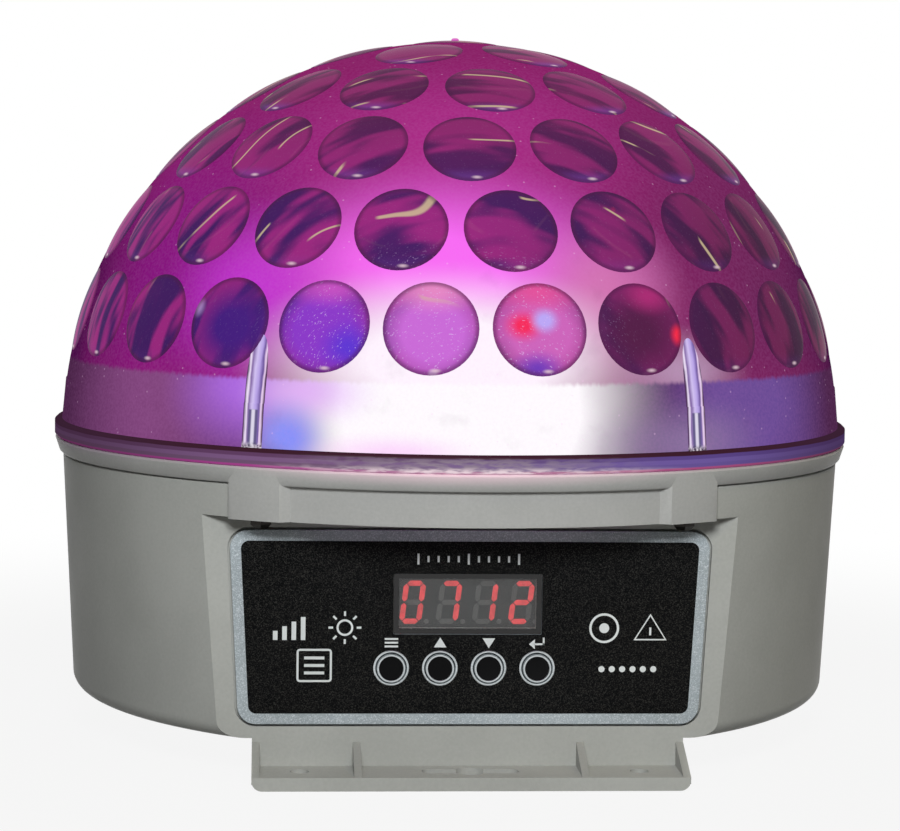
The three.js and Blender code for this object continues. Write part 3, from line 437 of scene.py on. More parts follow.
def ellipse(middle: Flat, wide: float, high: float, steps: int = 24) -> list[Flat]:
    """Returns the outline of an ellipse with these half sizes."""
    turns = [math.tau * i / steps for i in range(steps)]
    return [(middle[0] + wide * math.cos(t), middle[1] + high * math.sin(t)) for t in turns]


def dimmed(colour: Colour, share: float) -> Colour:
    """Returns a darker shade of a colour."""
    return (colour[0] * share, colour[1] * share, colour[2] * share, 1.0)


# Node trees


class Effect(Enum):
    """Node groups that more than one finish uses."""

    GRAIN = "grain"
    SPECKS = "specks"
    SPOT = "spot"
    FLAKE = "flake"
    DUST = "dust"


class NodeBench:
    """Adds and wires the nodes of one tree."""

    def __init__(self, tree: bpy.types.NodeTree) -> None:
        """Takes the tree that the nodes go into."""
        self.tree = tree

    @classmethod
    def fresh(cls, owner: bpy.types.Material | bpy.types.World) -> "NodeBench":
        """Empties the node tree of a material or a world and returns its bench.

        Args:
            owner: The material or the world.
        """
        owner.use_nodes = True
        owner.node_tree.nodes.clear()
        return cls(owner.node_tree)

    def feed(self, socket: Socket, value: object) -> None:
        """Links a socket to another, or sets its own value.

        Args:
            socket: The input.
            value: The socket that leads to it, or its value.
        """
        if isinstance(value, Socket):
            self.tree.links.new(value, socket)
        else:
            socket.default_value = value

    def add(self, kind: str, inputs: dict | None = None, **settings: object) -> Node:
        """Adds a node.

        Args:
            kind: The node's type.
            inputs: Values or sockets for its inputs, by name or number.
            **settings: Values for its own properties.

        Returns:
            The new node.
        """
        node = self.tree.nodes.new(kind)
        for name, value in settings.items():
            setattr(node, name, value)
        for name, value in (inputs or {}).items():
            self.feed(node.inputs[name], value)
        return node

    def math(
        self, operation: str, first: object, second: object = 0.0, clamp: bool = False
    ) -> Socket:
        """Returns the result of a sum of two values.

        Args:
            operation: The kind of sum.
            first: The first value or socket.
            second: The second one.
            clamp: Whether the result is held from nothing to one.
        """
        node = self.add("ShaderNodeMath", {0: first, 1: second}, operation=operation)
        node.use_clamp = clamp
        return node.outputs[0]

    def times(self, first: object, second: object, clamp: bool = False) -> Socket:
        """Returns the product of two values."""
        return self.math("MULTIPLY", first, second, clamp)

    def vector(self, operation: str, first: object, second: object) -> Socket:
        """Returns the result of a sum of two vectors."""
        inputs = {0: first, 1: second}
        return self.add("ShaderNodeVectorMath", inputs, operation=operation).outputs[0]

    def length(self, vector: object) -> Socket:
        """Returns the length of a vector."""
        return self.add("ShaderNodeVectorMath", {0: vector}, operation="LENGTH").outputs["Value"]

    def mix(self, share: object, first: object, second: object) -> Socket:
        """Returns a colour between two colours."""
        node = self.add("ShaderNodeMix", {0: share, 6: first, 7: second}, data_type="RGBA")
        return node.outputs[2]

    def ease(
        self, value: object, low: float, high: float, start: float = 0.0, end: float = 1.0
    ) -> Socket:
        """Returns a value that runs smoothly from start to end between low and high.

        Args:
            value: The value or socket that is read.
            low: Where the result starts to run.
            high: Where it stops.
            start: The result up to low.
            end: The result from high on.
        """
        inputs = {0: value, 1: low, 2: high, 3: start, 4: end}
        node = self.add("ShaderNodeMapRange", inputs, interpolation_type="SMOOTHSTEP")
        return node.outputs[0]

    def noise(self, vector: object, scale: object, detail: float = 2.0) -> Socket:
        """Returns a cloudy value round a half."""
        node = self.add("ShaderNodeTexNoise", {"Vector": vector, "Scale": scale, "Detail": detail})
        return node.outputs[0]

    def ramp(self, value: object, stops: Sequence[tuple[float, Colour]]) -> Socket:
        """Returns a colour that follows a value through these stops.

        Args:
            value: The value or socket that is read.
            stops: The level and the colour of each stop, in rising order.
        """
        node = self.add("ShaderNodeValToRGB", {0: value})
        elements = node.color_ramp.elements
        while len(elements) < len(stops):
            elements.new(0.5)
        for element, (level, colour) in zip(elements, stops):
            element.position = level
            element.color = colour
        return node.outputs[0]

    def blend(self, share: object, first: Node, second: Node) -> Socket:
        """Returns a surface between two shaders."""
        inputs = {0: share, 1: first.outputs[0], 2: second.outputs[0]}
        return self.add("ShaderNodeMixShader", inputs).outputs[0]

    def show(self, kind: str, surface: Socket) -> None:
        """Leads a surface to the output node of a material or a world."""
        self.feed(self.add(f"ShaderNodeOutput{kind}").inputs["Surface"], surface)

    def flat(self) -> Outputs:
        """Returns the two parts of the place on the piece's own map."""
        return self.split(self.add("ShaderNodeUVMap").outputs[0])

    def place(self) -> Socket:
        """Returns the place on the piece, in metres."""
        return self.add("ShaderNodeTexCoord").outputs["Object"]

    def stretch(self, vector: object, scale: Sequence[float]) -> Socket:
        """Returns a vector stretched along each axis."""
        return self.add("ShaderNodeMapping", {"Vector": vector, "Scale": scale}).outputs[0]

    def split(self, vector: object) -> Outputs:
        """Returns a vector's three parts."""
        return self.add("ShaderNodeSeparateXYZ", {0: vector}).outputs

    def cells(self, source: Outputs) -> tuple[Socket, Outputs]:
        """Returns the distance to the middle of random cells, and the three chances of each.

        Args:
            source: The inputs of a group, with a place and a scale.
        """
        inputs = {name: source[name] for name in ("Vector", "Scale")}
        cells = self.add("ShaderNodeTexVoronoi", inputs).outputs
        chances = self.add("ShaderNodeSeparateColor", {0: cells["Color"]}).outputs
        return cells["Distance"], chances

    def effect(self, effect: Effect, **inputs: object) -> Outputs:
        """Places a shared effect's group, feeds its inputs and returns its outputs.

        Args:
            effect: The effect.
            **inputs: Values or sockets for its inputs, by name.
        """
        node = self.add("ShaderNodeGroup", node_tree=SHELF.get(effect))
        for name, value in inputs.items():
            self.feed(node.inputs[name], value)
        return node.outputs

    def relief(self, shader: Node, strength: float, depth: float, height: object) -> None:
        """Gives a surface a fine relief, its depth in metres."""
        inputs = {"Strength": strength, "Distance": depth, "Height": height}
        self.feed(shader.inputs["Normal"], self.add("ShaderNodeBump", inputs).outputs[0])

    def glow(self, shader: Node, colour: object, strength: float) -> None:
        """Gives a surface light of its own."""
        self.feed(shader.inputs["Emission Color"], colour)
        self.feed(shader.inputs["Emission Strength"], strength)

    def gloss(
        self, shader: Node, value: object, low: float, high: float, start: float, end: float
    ) -> None:
        """Lets the roughness run from start to end as a value runs from low to high."""
        self.feed(shader.inputs["Roughness"], self.ease(value, low, high, start, end))


EFFECT_INPUTS: dict[Effect, dict[str, float | Triple]] = {
    Effect.GRAIN: {"Scale": 900.0},
    Effect.SPECKS: {"Scale": 300.0, "Share": 0.1},
    Effect.SPOT: {"Centre": (0, 0, 0), "Reach": (1, 1, 1)},
    Effect.FLAKE: {"Scale": 3000.0},
    Effect.DUST: {"Scale": 60.0},
}
EFFECT_OUTPUTS: dict[Effect, tuple[str, ...]] = {
    Effect.GRAIN: ("Height", "Tone"),
    Effect.SPECKS: ("Mask",),
    Effect.SPOT: ("Mask",),
    Effect.FLAKE: ("Mask", "Height"),
    Effect.DUST: ("Mask", "Scratch"),
}


class EffectShelf:
    """Builds each shared node group once."""

    def __init__(self) -> None:
        """Starts with an empty shelf."""
        self.made: dict[Effect, bpy.types.NodeTree] = {}

    def get(self, effect: Effect) -> bpy.types.NodeTree:
        """Returns the node group of an effect, built on first use.

        Args:
            effect: The effect.
        """
        if effect not in self.made:
            tree = bpy.data.node_groups.new(effect.value, "ShaderNodeTree")
            for name, value in {"Vector": (0, 0, 0), **EFFECT_INPUTS[effect]}.items():
                kind = "NodeSocketVector" if isinstance(value, tuple) else "NodeSocketFloat"
                socket = tree.interface.new_socket(name, in_out="INPUT", socket_type=kind)
                socket.default_value = value
            for name in EFFECT_OUTPUTS[effect]:
                tree.interface.new_socket(name, in_out="OUTPUT", socket_type="NodeSocketFloat")
            bench = NodeBench(tree)
            source = bench.add("NodeGroupInput")
            sink = bench.add("NodeGroupOutput")
            results = getattr(self, f"build_{effect.value}")(bench, source.outputs)
            for name, result in results.items():
                bench.feed(sink.inputs[name], result)
            self.made[effect] = tree
        return self.made[effect]

    def build_grain(self, bench: NodeBench, source: Outputs) -> dict:
        """Fine spark-eroded grain with a slow change of tone under it.

        Args:
            bench: The group's nodes.
            source: Its inputs.

        Returns:
            The group's outputs by name.
        """
        fine = bench.noise(source["Vector"], source["Scale"], 4.0)
        slow = bench.noise(source["Vector"], bench.times(source["Scale"], 0.02), 3.0)
        tone = bench.math("ADD", bench.times(fine, 0.35), bench.times(slow, 0.65))
        return {"Height": fine, "Tone": tone}

    def build_specks(self, bench: NodeBench, source: Outputs) -> dict:
        """Small round specks in a share of the cells.

        Args:
            bench: The group's nodes.
            source: Its inputs.

        Returns:
            The group's outputs by name.
        """
        distance, chances = bench.cells(source)
        chosen = bench.math("LESS_THAN", chances[0], source["Share"])
        dot = bench.ease(distance, 0.12, 0.26, 1.0, 0.0)
        return {"Mask": bench.times(chosen, dot)}

    def build_spot(self, bench: NodeBench, source: Outputs) -> dict:
        """A soft spot: one in the middle and nothing at its reach along each axis.

        Args:
            bench: The group's nodes.
            source: Its inputs.

        Returns:
            The group's outputs by name.
        """
        offset = bench.vector("SUBTRACT", source["Vector"], source["Centre"])
        share = bench.length(bench.vector("DIVIDE", offset, source["Reach"]))
        return {"Mask": bench.ease(share, 0.0, 1.0, 1.0, 0.0)}

    def build_flake(self, bench: NodeBench, source: Outputs) -> dict:
        """Metal flake: cells that catch the light by chance.

        Args:
            bench: The group's nodes.
            source: Its inputs.

        Returns:
            The group's outputs by name.
        """
        _, chances = bench.cells(source)
        return {"Mask": bench.ease(chances[0], 0.55, 1.0), "Height": chances[1]}

    def build_dust(self, bench: NodeBench, source: Outputs) -> dict:
        """Patches of handling marks and fine scratches.

        Args:
            bench: The group's nodes.
            source: Its inputs.

        Returns:
            The group's outputs by name.
        """
        patch = bench.ease(bench.noise(source["Vector"], source["Scale"], 5.0), 0.5, 0.75)
        thin = bench.stretch(source["Vector"], (1.0, 7.0, 0.6))
        lines = bench.noise(thin, bench.times(source["Scale"], 9.0), 6.0)
        scratch = bench.ease(lines, 0.62, 0.7)
        return {"Mask": patch, "Scratch": scratch}


SHELF = EffectShelf()


# Finishes


@dataclass(frozen=True)
class Spot:
    """A soft patch of colour.

    Attributes:
        centre: Its middle, in millimetres.
        reach: How far it goes along each axis, in millimetres.
        colour: Its colour in display values from 0 to 255.
        weight: Its share at the middle.
    """

    centre: Triple
    reach: Triple
    colour: Triple
    weight: float = 1.0


def spotted(
    bench: NodeBench,
    place: Socket,
    ground: object,
    spots: Sequence[Spot],
    gain: object = 1.0,
) -> object:
    """Paints soft spots over a ground colour, the later over the earlier.

    Args:
        bench: The tree that the nodes go into.
        place: The place on the piece.
        ground: The colour where no spot reaches.
        spots: The spots.
        gain: An uneven share of every spot.

    Returns:
        The painted colour's socket.
    """
    colour = ground
    for spot in spots:
        centre, reach = (tuple(part * MM for part in size) for size in (spot.centre, spot.reach))
        mask = bench.effect(Effect.SPOT, Vector=place, Centre=centre, Reach=reach)["Mask"]
        mask = bench.times(bench.times(mask, gain), spot.weight, clamp=True)
        colour = bench.mix(mask, colour, shade(*spot.colour))
    return colour


@dataclass(frozen=True)
class Finish:
    """A surface finish.

    Attributes:
        name: The finish in a maker's words.
        slot: The record's slot that it belongs to. It is not used.
        base: Its colour.
        roughness: Its roughness.
        shine: The level of its reflection, a half being plain plastic.
    """

    name: str
    slot: Slot
    base: Colour
    roughness: float = 0.5
    shine: float = 0.5

    def material(self) -> bpy.types.Material:
        """Returns the finish's material, built on first use."""
        found = bpy.data.materials.get(self.name)
        if found:
            return found
        made = bpy.data.materials.new(self.name)
        bench = NodeBench.fresh(made)
        plain = {"Base Color": self.base, "Roughness": self.roughness}
        plain["Specular IOR Level"] = self.shine
        shader = bench.add("ShaderNodeBsdfPrincipled", plain)
        bench.show("Material", shader.outputs[0])
        self.paint(bench, shader)
        made.diffuse_color = self.base
        return made

    def paint(self, bench: NodeBench, shader: Node) -> None:
        """Adds the finish's own detail to its shader."""
        raise NotImplementedError


@dataclass(frozen=True)
class Moulded(Finish):
    """Moulded plastic with grain, an uneven tone and a little dust.

    Attributes:
        grain: How fine the grain is, in cells to the metre.
        depth: The height of the grain, in metres.
        dirt: The colour of the dust.
        dirt_share: How much of it shows.
        spots: Patches where light from the dome tints it.
    """

    grain: float = 1400.0
    depth: float = 0.02 * MM
    dirt: Colour = shade(120, 112, 100)
    dirt_share: float = 0.25
    spots: tuple[Spot, ...] = ()

    def paint(self, bench: NodeBench, shader: Node) -> None:
        """Adds tone, dust, patches of painted light from the dome where spots are given, grain and
        an uneven gloss.

        Args:
            bench: The material's nodes.
            shader: Its surface shader.
        """
        place = bench.place()
        grain = bench.effect(Effect.GRAIN, Vector=place, Scale=self.grain)
        dust = bench.effect(Effect.DUST, Vector=place, Scale=38.0)
        tone = bench.ease(grain["Tone"], 0.3, 0.7)
        colour = bench.mix(tone, dimmed(self.base, 0.86), self.base)
        dirt = bench.times(dust["Mask"], self.dirt_share)
        colour = spotted(bench, place, bench.mix(dirt, colour, self.dirt), self.spots)
        bench.feed(shader.inputs["Base Color"], colour)
        dull, bright = self.roughness + 0.08, self.roughness - 0.06
        bench.gloss(shader, grain["Tone"], 0.2, 0.8, dull, bright)
        bench.relief(shader, 0.6, self.depth, grain["Height"])


@dataclass(frozen=True)
class Metal(Finish):
    """Plated or brushed metal with fine scratches.

    Attributes:
        brush: How far the brushing stretches along each axis.
    """

    brush: Triple = (1.0, 8.0, 8.0)

    def paint(self, bench: NodeBench, shader: Node) -> None:
        """Adds brushing, scratches and a dull tone here and there.

        Args:
            bench: The material's nodes.
            shader: Its surface shader.
        """
        shader.inputs["Metallic"].default_value = 1.0
        place = bench.place()
        lines = bench.noise(bench.stretch(place, self.brush), 700.0, 5.0)
        dust = bench.effect(Effect.DUST, Vector=place, Scale=110.0)
        brushed = bench.mix(bench.ease(lines, 0.3, 0.7), dimmed(self.base, 0.72), self.base)
        bench.feed(shader.inputs["Base Color"], brushed)
        bench.gloss(shader, dust["Mask"], 0.0, 1.0, self.roughness, self.roughness + 0.2)
        bench.relief(shader, 0.4, 0.01 * MM, lines)


@dataclass(frozen=True)
class Flaked(Finish):
    """Lacquer with metal flake.

    Attributes:
        flake: The colour of the flake.
        scale: How fine it is, in cells to the metre.
        share: How strongly it shows.
    """

    flake: Colour = shade(120, 118, 112)
    scale: float = 3300.0
    share: float = 0.6

    def paint(self, bench: NodeBench, shader: Node) -> None:
        """Adds the flake in colour, gloss and relief, with a cloudy tone.

        Args:
            bench: The material's nodes.
            shader: Its surface shader.
        """
        place = bench.place()
        flake = bench.effect(Effect.FLAKE, Vector=place, Scale=self.scale)
        grain = bench.effect(Effect.GRAIN, Vector=place, Scale=1800.0)
        amount = bench.times(flake["Mask"], self.share)
        tone = bench.ease(grain["Tone"], 0.3, 0.7)
        ground = bench.mix(tone, dimmed(self.base, 0.7), self.base)
        bench.feed(shader.inputs["Base Color"], bench.mix(amount, ground, self.flake))
        bench.gloss(shader, flake["Mask"], 0.0, 1.0, self.roughness, self.roughness - 0.18)
        bench.relief(shader, 0.5, 0.03 * MM, flake["Height"])


@dataclass(frozen=True)
class Frosted(Finish):
    """Frosted plastic that glows with the light behind it.

    Attributes:
        glow: The colour that shows where no spot reaches.
        spots: The patches of light, the later over the earlier.
        low_glow: The same colour under the boundary.
        low_spots: The patches under the boundary.
        boundary: The height of the boundary, in metres.
        strength: The strength of the glow.
        veil: What the room's light on the surface adds, and the glow leaves out.
    """

    glow: Colour = shade(136, 40, 100)
    spots: tuple[Spot, ...] = ()
    low_glow: Colour = shade(74, 44, 72)
    low_spots: tuple[Spot, ...] = ()
    boundary: float = 0.0
    strength: float = 1.0
    veil: float = 0.012

    def paint(self, bench: NodeBench, shader: Node) -> None:
        """Paints the glow spot by spot, with specks, smudges and a satin relief.

        Args:
            bench: The material's nodes.
            shader: Its surface shader.
        """
        place = bench.place()
        wobble = bench.ease(bench.noise(place, 30.0, 3.0), 0.2, 0.75, 0.86, 1.1)
        colour = spotted(bench, place, self.glow, self.spots, wobble)
        if self.low_spots:
            lower = spotted(bench, place, self.low_glow, self.low_spots, wobble)
            comb = bench.noise(bench.stretch(place, (1.0, 1.0, 0.03)), 950.0, 1.0)
            rise = bench.times(comb, 1.2 * MM)
            height = bench.math("ADD", bench.split(place)[2], rise)
            level, soft = self.boundary + 0.6 * MM, 0.7 * MM
            edge = bench.ease(height, level - soft, level + soft)
            colour = bench.mix(edge, lower, colour)
        smudge = bench.ease(bench.noise(place, 120.0, 4.0), 0.58, 0.76, 0.0, 0.09)
        colour = bench.mix(smudge, colour, shade(60, 18, 60))
        cloud = bench.ease(bench.noise(place, 1500.0, 2.0), 0.3, 0.7, 0.0, 0.05)
        colour = bench.mix(cloud, colour, shade(225, 150, 225))
        specks = bench.effect(Effect.SPECKS, Vector=place, Scale=800.0, Share=0.06)["Mask"]
        colour = bench.mix(bench.times(specks, 0.24), colour, shade(250, 205, 245))
        colour = bench.vector("SUBTRACT", colour, (self.veil, self.veil, self.veil))
        bench.glow(shader, colour, self.strength)
        fine = bench.noise(place, 2600.0, 3.0)
        bench.gloss(shader, fine, 0.3, 0.7, self.roughness, self.roughness + 0.12)
        bench.relief(shader, 0.5, 0.015 * MM, fine)


@dataclass(frozen=True)
class LensGlass(Finish):
    """Clear lens plastic, painted with the light and the dark bands that show in it.

    Attributes:
        spots: Patches of light in the lenses.
        lights: The light bands' colours at the left, at the right and near the top.
        darks: The dark bands' colours there.
        clear: The share of light that goes through.
        index: How strongly it bends light.
        strength: The strength of the painted light.
        streak_pitch: How far apart the streaks lie, in metres.
        streak_bend: How far they wander, in metres.
        dome_radius: The radius of the dome that the lenses lie on.
    """

    spots: tuple[Spot, ...] = ()
    lights: Sequence[Colour] = (shade(154, 34, 122), shade(106, 30, 74), shade(136, 34, 98))
    darks: Sequence[Colour] = (shade(52, 18, 88), shade(50, 20, 48), shade(78, 22, 66))
    clear: float = 0.25
    index: float = 1.15
    strength: float = 0.86
    streak_pitch: float = 12.5 * MM
    streak_bend: float = 26 * MM
    dome_radius: float = 102 * MM

    def paint(self, bench: NodeBench, shader: Node) -> None:
        """Paints bands that run round the line of sight, then patches, painted sparkle in the front
        lenses and painted streaks of lamp reflections.

        Args:
            bench: The material's nodes.
            shader: Its surface shader.
        """
        shader.inputs["Transmission Weight"].default_value = self.clear
        shader.inputs["IOR"].default_value = self.index
        place = bench.place()
        parts = bench.split(place)
        side = bench.ease(parts[0], -0.015, 0.075)
        high = bench.ease(parts[2], 0.13, 0.165)
        light, dark = (
            bench.mix(high, bench.mix(side, left, right), top)
            for left, right, top in (self.lights, self.darks)
        )
        band = bench.noise(bench.stretch(place, (0.17, 1.0, 0.2)), 190.0, 2.2)
        colour = bench.mix(bench.ease(band, 0.4, 0.56), dark, light)
        flat = bench.flat()
        # Painted highlight: a lilac crescent along the lower rim, stronger on the upper lenses.
        rim = bench.ease(flat[1], -0.98, -0.62, 1.0, 0.0)
        crescent = bench.times(rim, bench.ease(parts[2], 0.11, 0.16, 0.1, 0.65))
        colour = bench.mix(crescent, colour, shade(112, 66, 160))
        colour = spotted(bench, place, colour, self.spots)
        # Painted sparkle: glints of the lit inside seen through the front lenses, drawn with the
        # dust group's specks and scratch lines.
        front = {"Centre": (-0.010, -0.097, 0.108), "Reach": (0.055, 0.04, 0.026)}
        near = bench.effect(Effect.SPOT, Vector=place, **front)["Mask"]
        near = bench.times(near, 2.2, clamp=True)
        specks = bench.effect(Effect.SPECKS, Vector=place, Scale=1500.0, Share=0.3)
        dust = bench.effect(Effect.DUST, Vector=place, Scale=130.0)
        painted_sparkle = bench.math("MAXIMUM", specks["Mask"], dust["Scratch"])
        lit = bench.times(painted_sparkle, bench.ease(near, 0, 1, 0.05, 0.6))
        colour = bench.mix(lit, colour, shade(232, 196, 250))
        colour = self.rimmed(bench, flat, self.streaked(bench, place, parts, colour))
        bench.glow(shader, colour, self.strength)
        haze = bench.noise(place, 900.0, 4.0)
        bench.gloss(shader, haze, 0.45, 0.8, self.roughness, self.roughness + 0.02)

    def rimmed(self, bench: NodeBench, flat: Outputs, colour: object) -> Socket:
        """Paints shade darker towards a lens's edge and adds a small painted glint at its foot.

        Args:
            bench: The material's nodes.
            flat: The place across and up the lens.
            colour: The colour so far.

        Returns:
            The new colour.
        """
        span = bench.add("ShaderNodeCombineXYZ", {0: flat[0], 1: flat[1]}).outputs[0]
        edge = bench.ease(bench.length(span), 0.86, 0.985, 0.0, 0.62)
        colour = bench.mix(edge, colour, shade(64, 16, 56))
        foot = bench.vector("SUBTRACT", span, (0.12, -0.9, 0.0))
        near = bench.length(bench.vector("DIVIDE", foot, (0.16, 0.06, 1.0)))
        glint = bench.ease(near, 0.0, 1.0, 0.85, 0.0)
        return bench.mix(glint, colour, shade(232, 204, 214))

    def streaked(self, bench: NodeBench, place: object, parts: Outputs, colour: object) -> Socket:
        """Adds thin pale streaks, painted reflections of the long warm lamps, that follow the bands
        on the upper lenses.

        Args:
            bench: The material's nodes.
            place: The place on the piece.
            parts: Its three parts.
            colour: The colour so far.

        Returns:
            The new colour.
        """
        bend = bench.times(bench.noise(place, 26.0, 1.0), self.streak_bend)
        depth = bench.math("ADD", parts[1], bend)
        turn = bench.math("FRACT", bench.math("DIVIDE", depth, self.streak_pitch))
        offset = bench.math("ABSOLUTE", bench.math("SUBTRACT", turn, 0.5))
        lean = bench.math("DIVIDE", parts[1], self.dome_radius)
        slope = bench.math("SUBTRACT", 1.0, bench.times(lean, lean))
        spread = bench.math("SQRT", bench.math("MAXIMUM", slope, 0.05))
        line = bench.ease(bench.math("DIVIDE", offset, spread), 0.014, 0.044, 1.0, 0.0)
        gate = bench.ease(bench.noise(place, 70.0, 1.0), 0.5, 0.56)
        shown = bench.ease(parts[0], -0.085, -0.055)
        tall = bench.ease(parts[2], 0.113, 0.118)
        mask = bench.times(bench.times(line, gate), shown)
        mask = bench.times(bench.times(mask, tall), 0.8)
        return bench.mix(mask, colour, shade(214, 196, 150))


@dataclass(frozen=True)
class Clear(Finish):
    """Clear or tinted plastic with a faint ripple.

    Attributes:
        ripple: The height of the ripple, in metres.
        haze: Extra roughness in the ripple's valleys.
        window: Half width, half height and middle of the part that lets light through.
        edge: How softly that part ends, in metres.
        index: How strongly it bends light.
    """

    ripple: float = 0.004 * MM
    haze: float = 0.02
    window: tuple[float, float, Flat] | None = None
    edge: float = 0.2 * MM
    index: float = 1.49

    def paint(self, bench: NodeBench, shader: Node) -> None:
        """Makes the shader glassy and gives it ripple and fine haze.

        Args:
            bench: The material's nodes.
            shader: Its surface shader.
        """
        shader.inputs["Transmission Weight"].default_value = 1.0
        shader.inputs["IOR"].default_value = self.index
        place = bench.place()
        if self.window:
            wide, high, middle = self.window
            parts = bench.split(place)
            edges = []
            for part, half, at in ((parts[0], wide, middle[0]), (parts[2], high, middle[1])):
                away = bench.math("ABSOLUTE", bench.math("SUBTRACT", part, at))
                edges.append(bench.ease(away, half - self.edge, half))
            masked = bench.mix(bench.math("MAXIMUM", *edges), self.base, shade(14, 14, 14))
            bench.feed(shader.inputs["Base Color"], masked)
        haze = bench.noise(place, 900.0, 4.0)
        bench.gloss(shader, haze, 0.45, 0.8, self.roughness, self.roughness + self.haze)
        bench.relief(shader, 0.5, self.ripple, bench.noise(place, 160.0, 2.0))


@dataclass(frozen=True)
class Glowing(Finish):
    """A lit surface with an uneven brightness.

    Attributes:
        light: The colour of the light.
        strength: Its strength.
        scale: How fine its unevenness is.
    """

    light: Colour = WHITE
    strength: float = 1.0
    scale: float = 220.0

    def paint(self, bench: NodeBench, shader: Node) -> None:
        """Adds the uneven light.

        Args:
            bench: The material's nodes.
            shader: Its surface shader.
        """
        cloud = bench.ease(bench.noise(bench.place(), self.scale, 3.0), 0.3, 0.7)
        colour = bench.mix(cloud, dimmed(self.light, 0.62), self.light)
        bench.glow(shader, colour, self.strength)
        bench.gloss(shader, cloud, 0, 1, self.roughness, self.roughness + 0.1)


HOUSING_PLASTIC = Moulded(
    "housing_plastic", Slot.HOUSING, shade(180, 181, 177), 0.46, 0.04,
    dirt=shade(146, 146, 140), dirt_share=0.12,
)
RING_PLASTIC = Moulded(
    "ring_plastic", Slot.RING, shade(184, 184, 182), 0.42, 0.05, dirt_share=0.08,
    # Painted light: the dome's glow on the front and the left of the ring.
    spots=(
        Spot((-4, -104, 77), (76, 40, 5), (238, 205, 218), 1.0),
        Spot((-96, -40, 77), (40, 60, 4), (168, 150, 168), 0.8),
    ),
)
BLACK_PLASTIC = Moulded(
    "black_plastic", Slot.BLACK, shade(34, 34, 35), 0.5, 0.3, dirt=shade(70, 70, 70)
)
BUTTON_BLACK = Moulded(
    "button_black", Slot.BUTTON, shade(12, 12, 13), 0.45, 0.06, dirt=shade(40, 40, 42)
)
PRINT = Moulded("white_print", Slot.PANEL, shade(226, 230, 230), 0.5, 0.3, 2400.0, 0.01 * MM)
BOARD_LACQUER = Moulded(
    "board_lacquer", Slot.BOARD, shade(34, 92, 52), 0.35, grain=900.0, dirt=shade(150, 140, 80)
)
LED_CERAMIC = Moulded("led_ceramic", Slot.LED, shade(236, 232, 214), 0.4, grain=2000.0)
COIL_TAPE = Moulded(
    "coil_tape", Slot.COIL, shade(150, 104, 42), 0.45, grain=600.0, dirt=shade(60, 50, 40)
)
SCREW_STEEL = Metal("screw_steel", Slot.STEEL, shade(128, 126, 120), 0.3)
# Painted shade: the screw steel painted dark, as the dome screws sit in the dark gap under the
# lugs.
SCREW_SHADED = Metal("shaded_dome_screw", Slot.STEEL, shade(44, 42, 40), 0.3)
ALUMINIUM = Metal("sheet_aluminium", Slot.ALUMINIUM, shade(205, 206, 208), 0.35)
MOTOR_STEEL = Metal("motor_steel", Slot.MOTOR, shade(170, 168, 162), 0.32, brush=(9.0, 9.0, 1.0))
BUTTON_EDGE = Metal("button_edge", Slot.BUTTON, shade(206, 212, 214), 0.3)
PANEL_BORDER = Flaked(
    "panel_border", Slot.PANEL, shade(176, 186, 192), 0.5, 0.3, shade(226, 232, 236), 5200.0, 0.6
)
PANEL_FIELD = Flaked(
    "panel_field", Slot.PANEL, shade(12, 13, 14), 0.6, 0.04, shade(92, 90, 86), 5600.0, 0.28
)
LENS_SPOTS = (
    Spot((-57, -79, 108), (17, 17, 15), (54, 20, 122), 1.2),
    Spot((-66, -72, 113), (3, 4, 4), (222, 190, 255), 1.1),
    Spot((-36, -90, 108), (18, 17, 17), (138, 56, 204), 1.5),
    Spot((-36, -91, 118), (15, 12, 6), (222, 90, 206), 1.0),
    Spot((-11, -99, 98.6), (1.6, 3, 1.4), (255, 250, 255), 1.6),
    Spot((-3.6, -99, 100), (1.1, 3, 1.0), (255, 240, 255), 1.5),
    Spot((-30, -93, 104), (9, 9, 8), (72, 52, 218), 0.9),
    Spot((-11, -97, 108), (18, 17, 17), (206, 110, 220), 1.5),
    Spot((-11, -97, 118), (15, 12, 7), (246, 150, 204), 1.1),
    Spot((14, -96, 108), (18, 17, 17), (210, 104, 190), 1.5),
    Spot((14, -96, 118), (15, 12, 7), (238, 84, 156), 1.1),
    Spot((13, -97, 100), (8, 8, 5), (64, 44, 190), 0.9),
    Spot((10, -98, 110), (6, 6, 5), (255, 34, 70), 1.3),
    Spot((15, -97, 111), (4.5, 6, 4), (190, 176, 255), 1.4),
    Spot((38, -90, 108), (17, 17, 16), (74, 20, 54), 1.1),
    Spot((42, -88, 117), (10, 8, 6), (196, 44, 124), 1.0),
    Spot((47.5, -84.5, 107), (3.2, 4, 3.6), (255, 40, 60), 1.4),
    Spot((33, -79, 137), (1.6, 3, 1.6), (255, 40, 70), 1.5),
    Spot((-17, -89, 139), (1.4, 3, 1.4), (255, 60, 90), 1.5),
    Spot((-42, -76, 138), (1.4, 3, 1.4), (255, 50, 90), 1.4),
    Spot((-22, -66, 157), (1.8, 3, 1.6), (255, 40, 80), 1.5),
    Spot((-20, -85, 141.5), (1.3, 3, 1.2), (150, 160, 255), 1.5),
)
LENS_CLEAR = LensGlass(
    "lens_clear", Slot.DOME, (0.04, 0.012, 0.045, 1.0), 0.02, 0.0, spots=LENS_SPOTS
)
PANE_SMOKE = Clear(
    "pane_smoke", Slot.PANE, (0.66, 0.67, 0.67, 1.0), 0.06, 0.12,
    window=(16.5 * MM, 6.1 * MM, (-0.65 * MM, 42.3 * MM)),
)
ROSE_GLOW = Glowing(
    "rose_glow", Slot.DOME, shade(120, 30, 100),
    light=(1.0, 0.11, 0.26, 1.0), strength=1.84, scale=40.0,
)
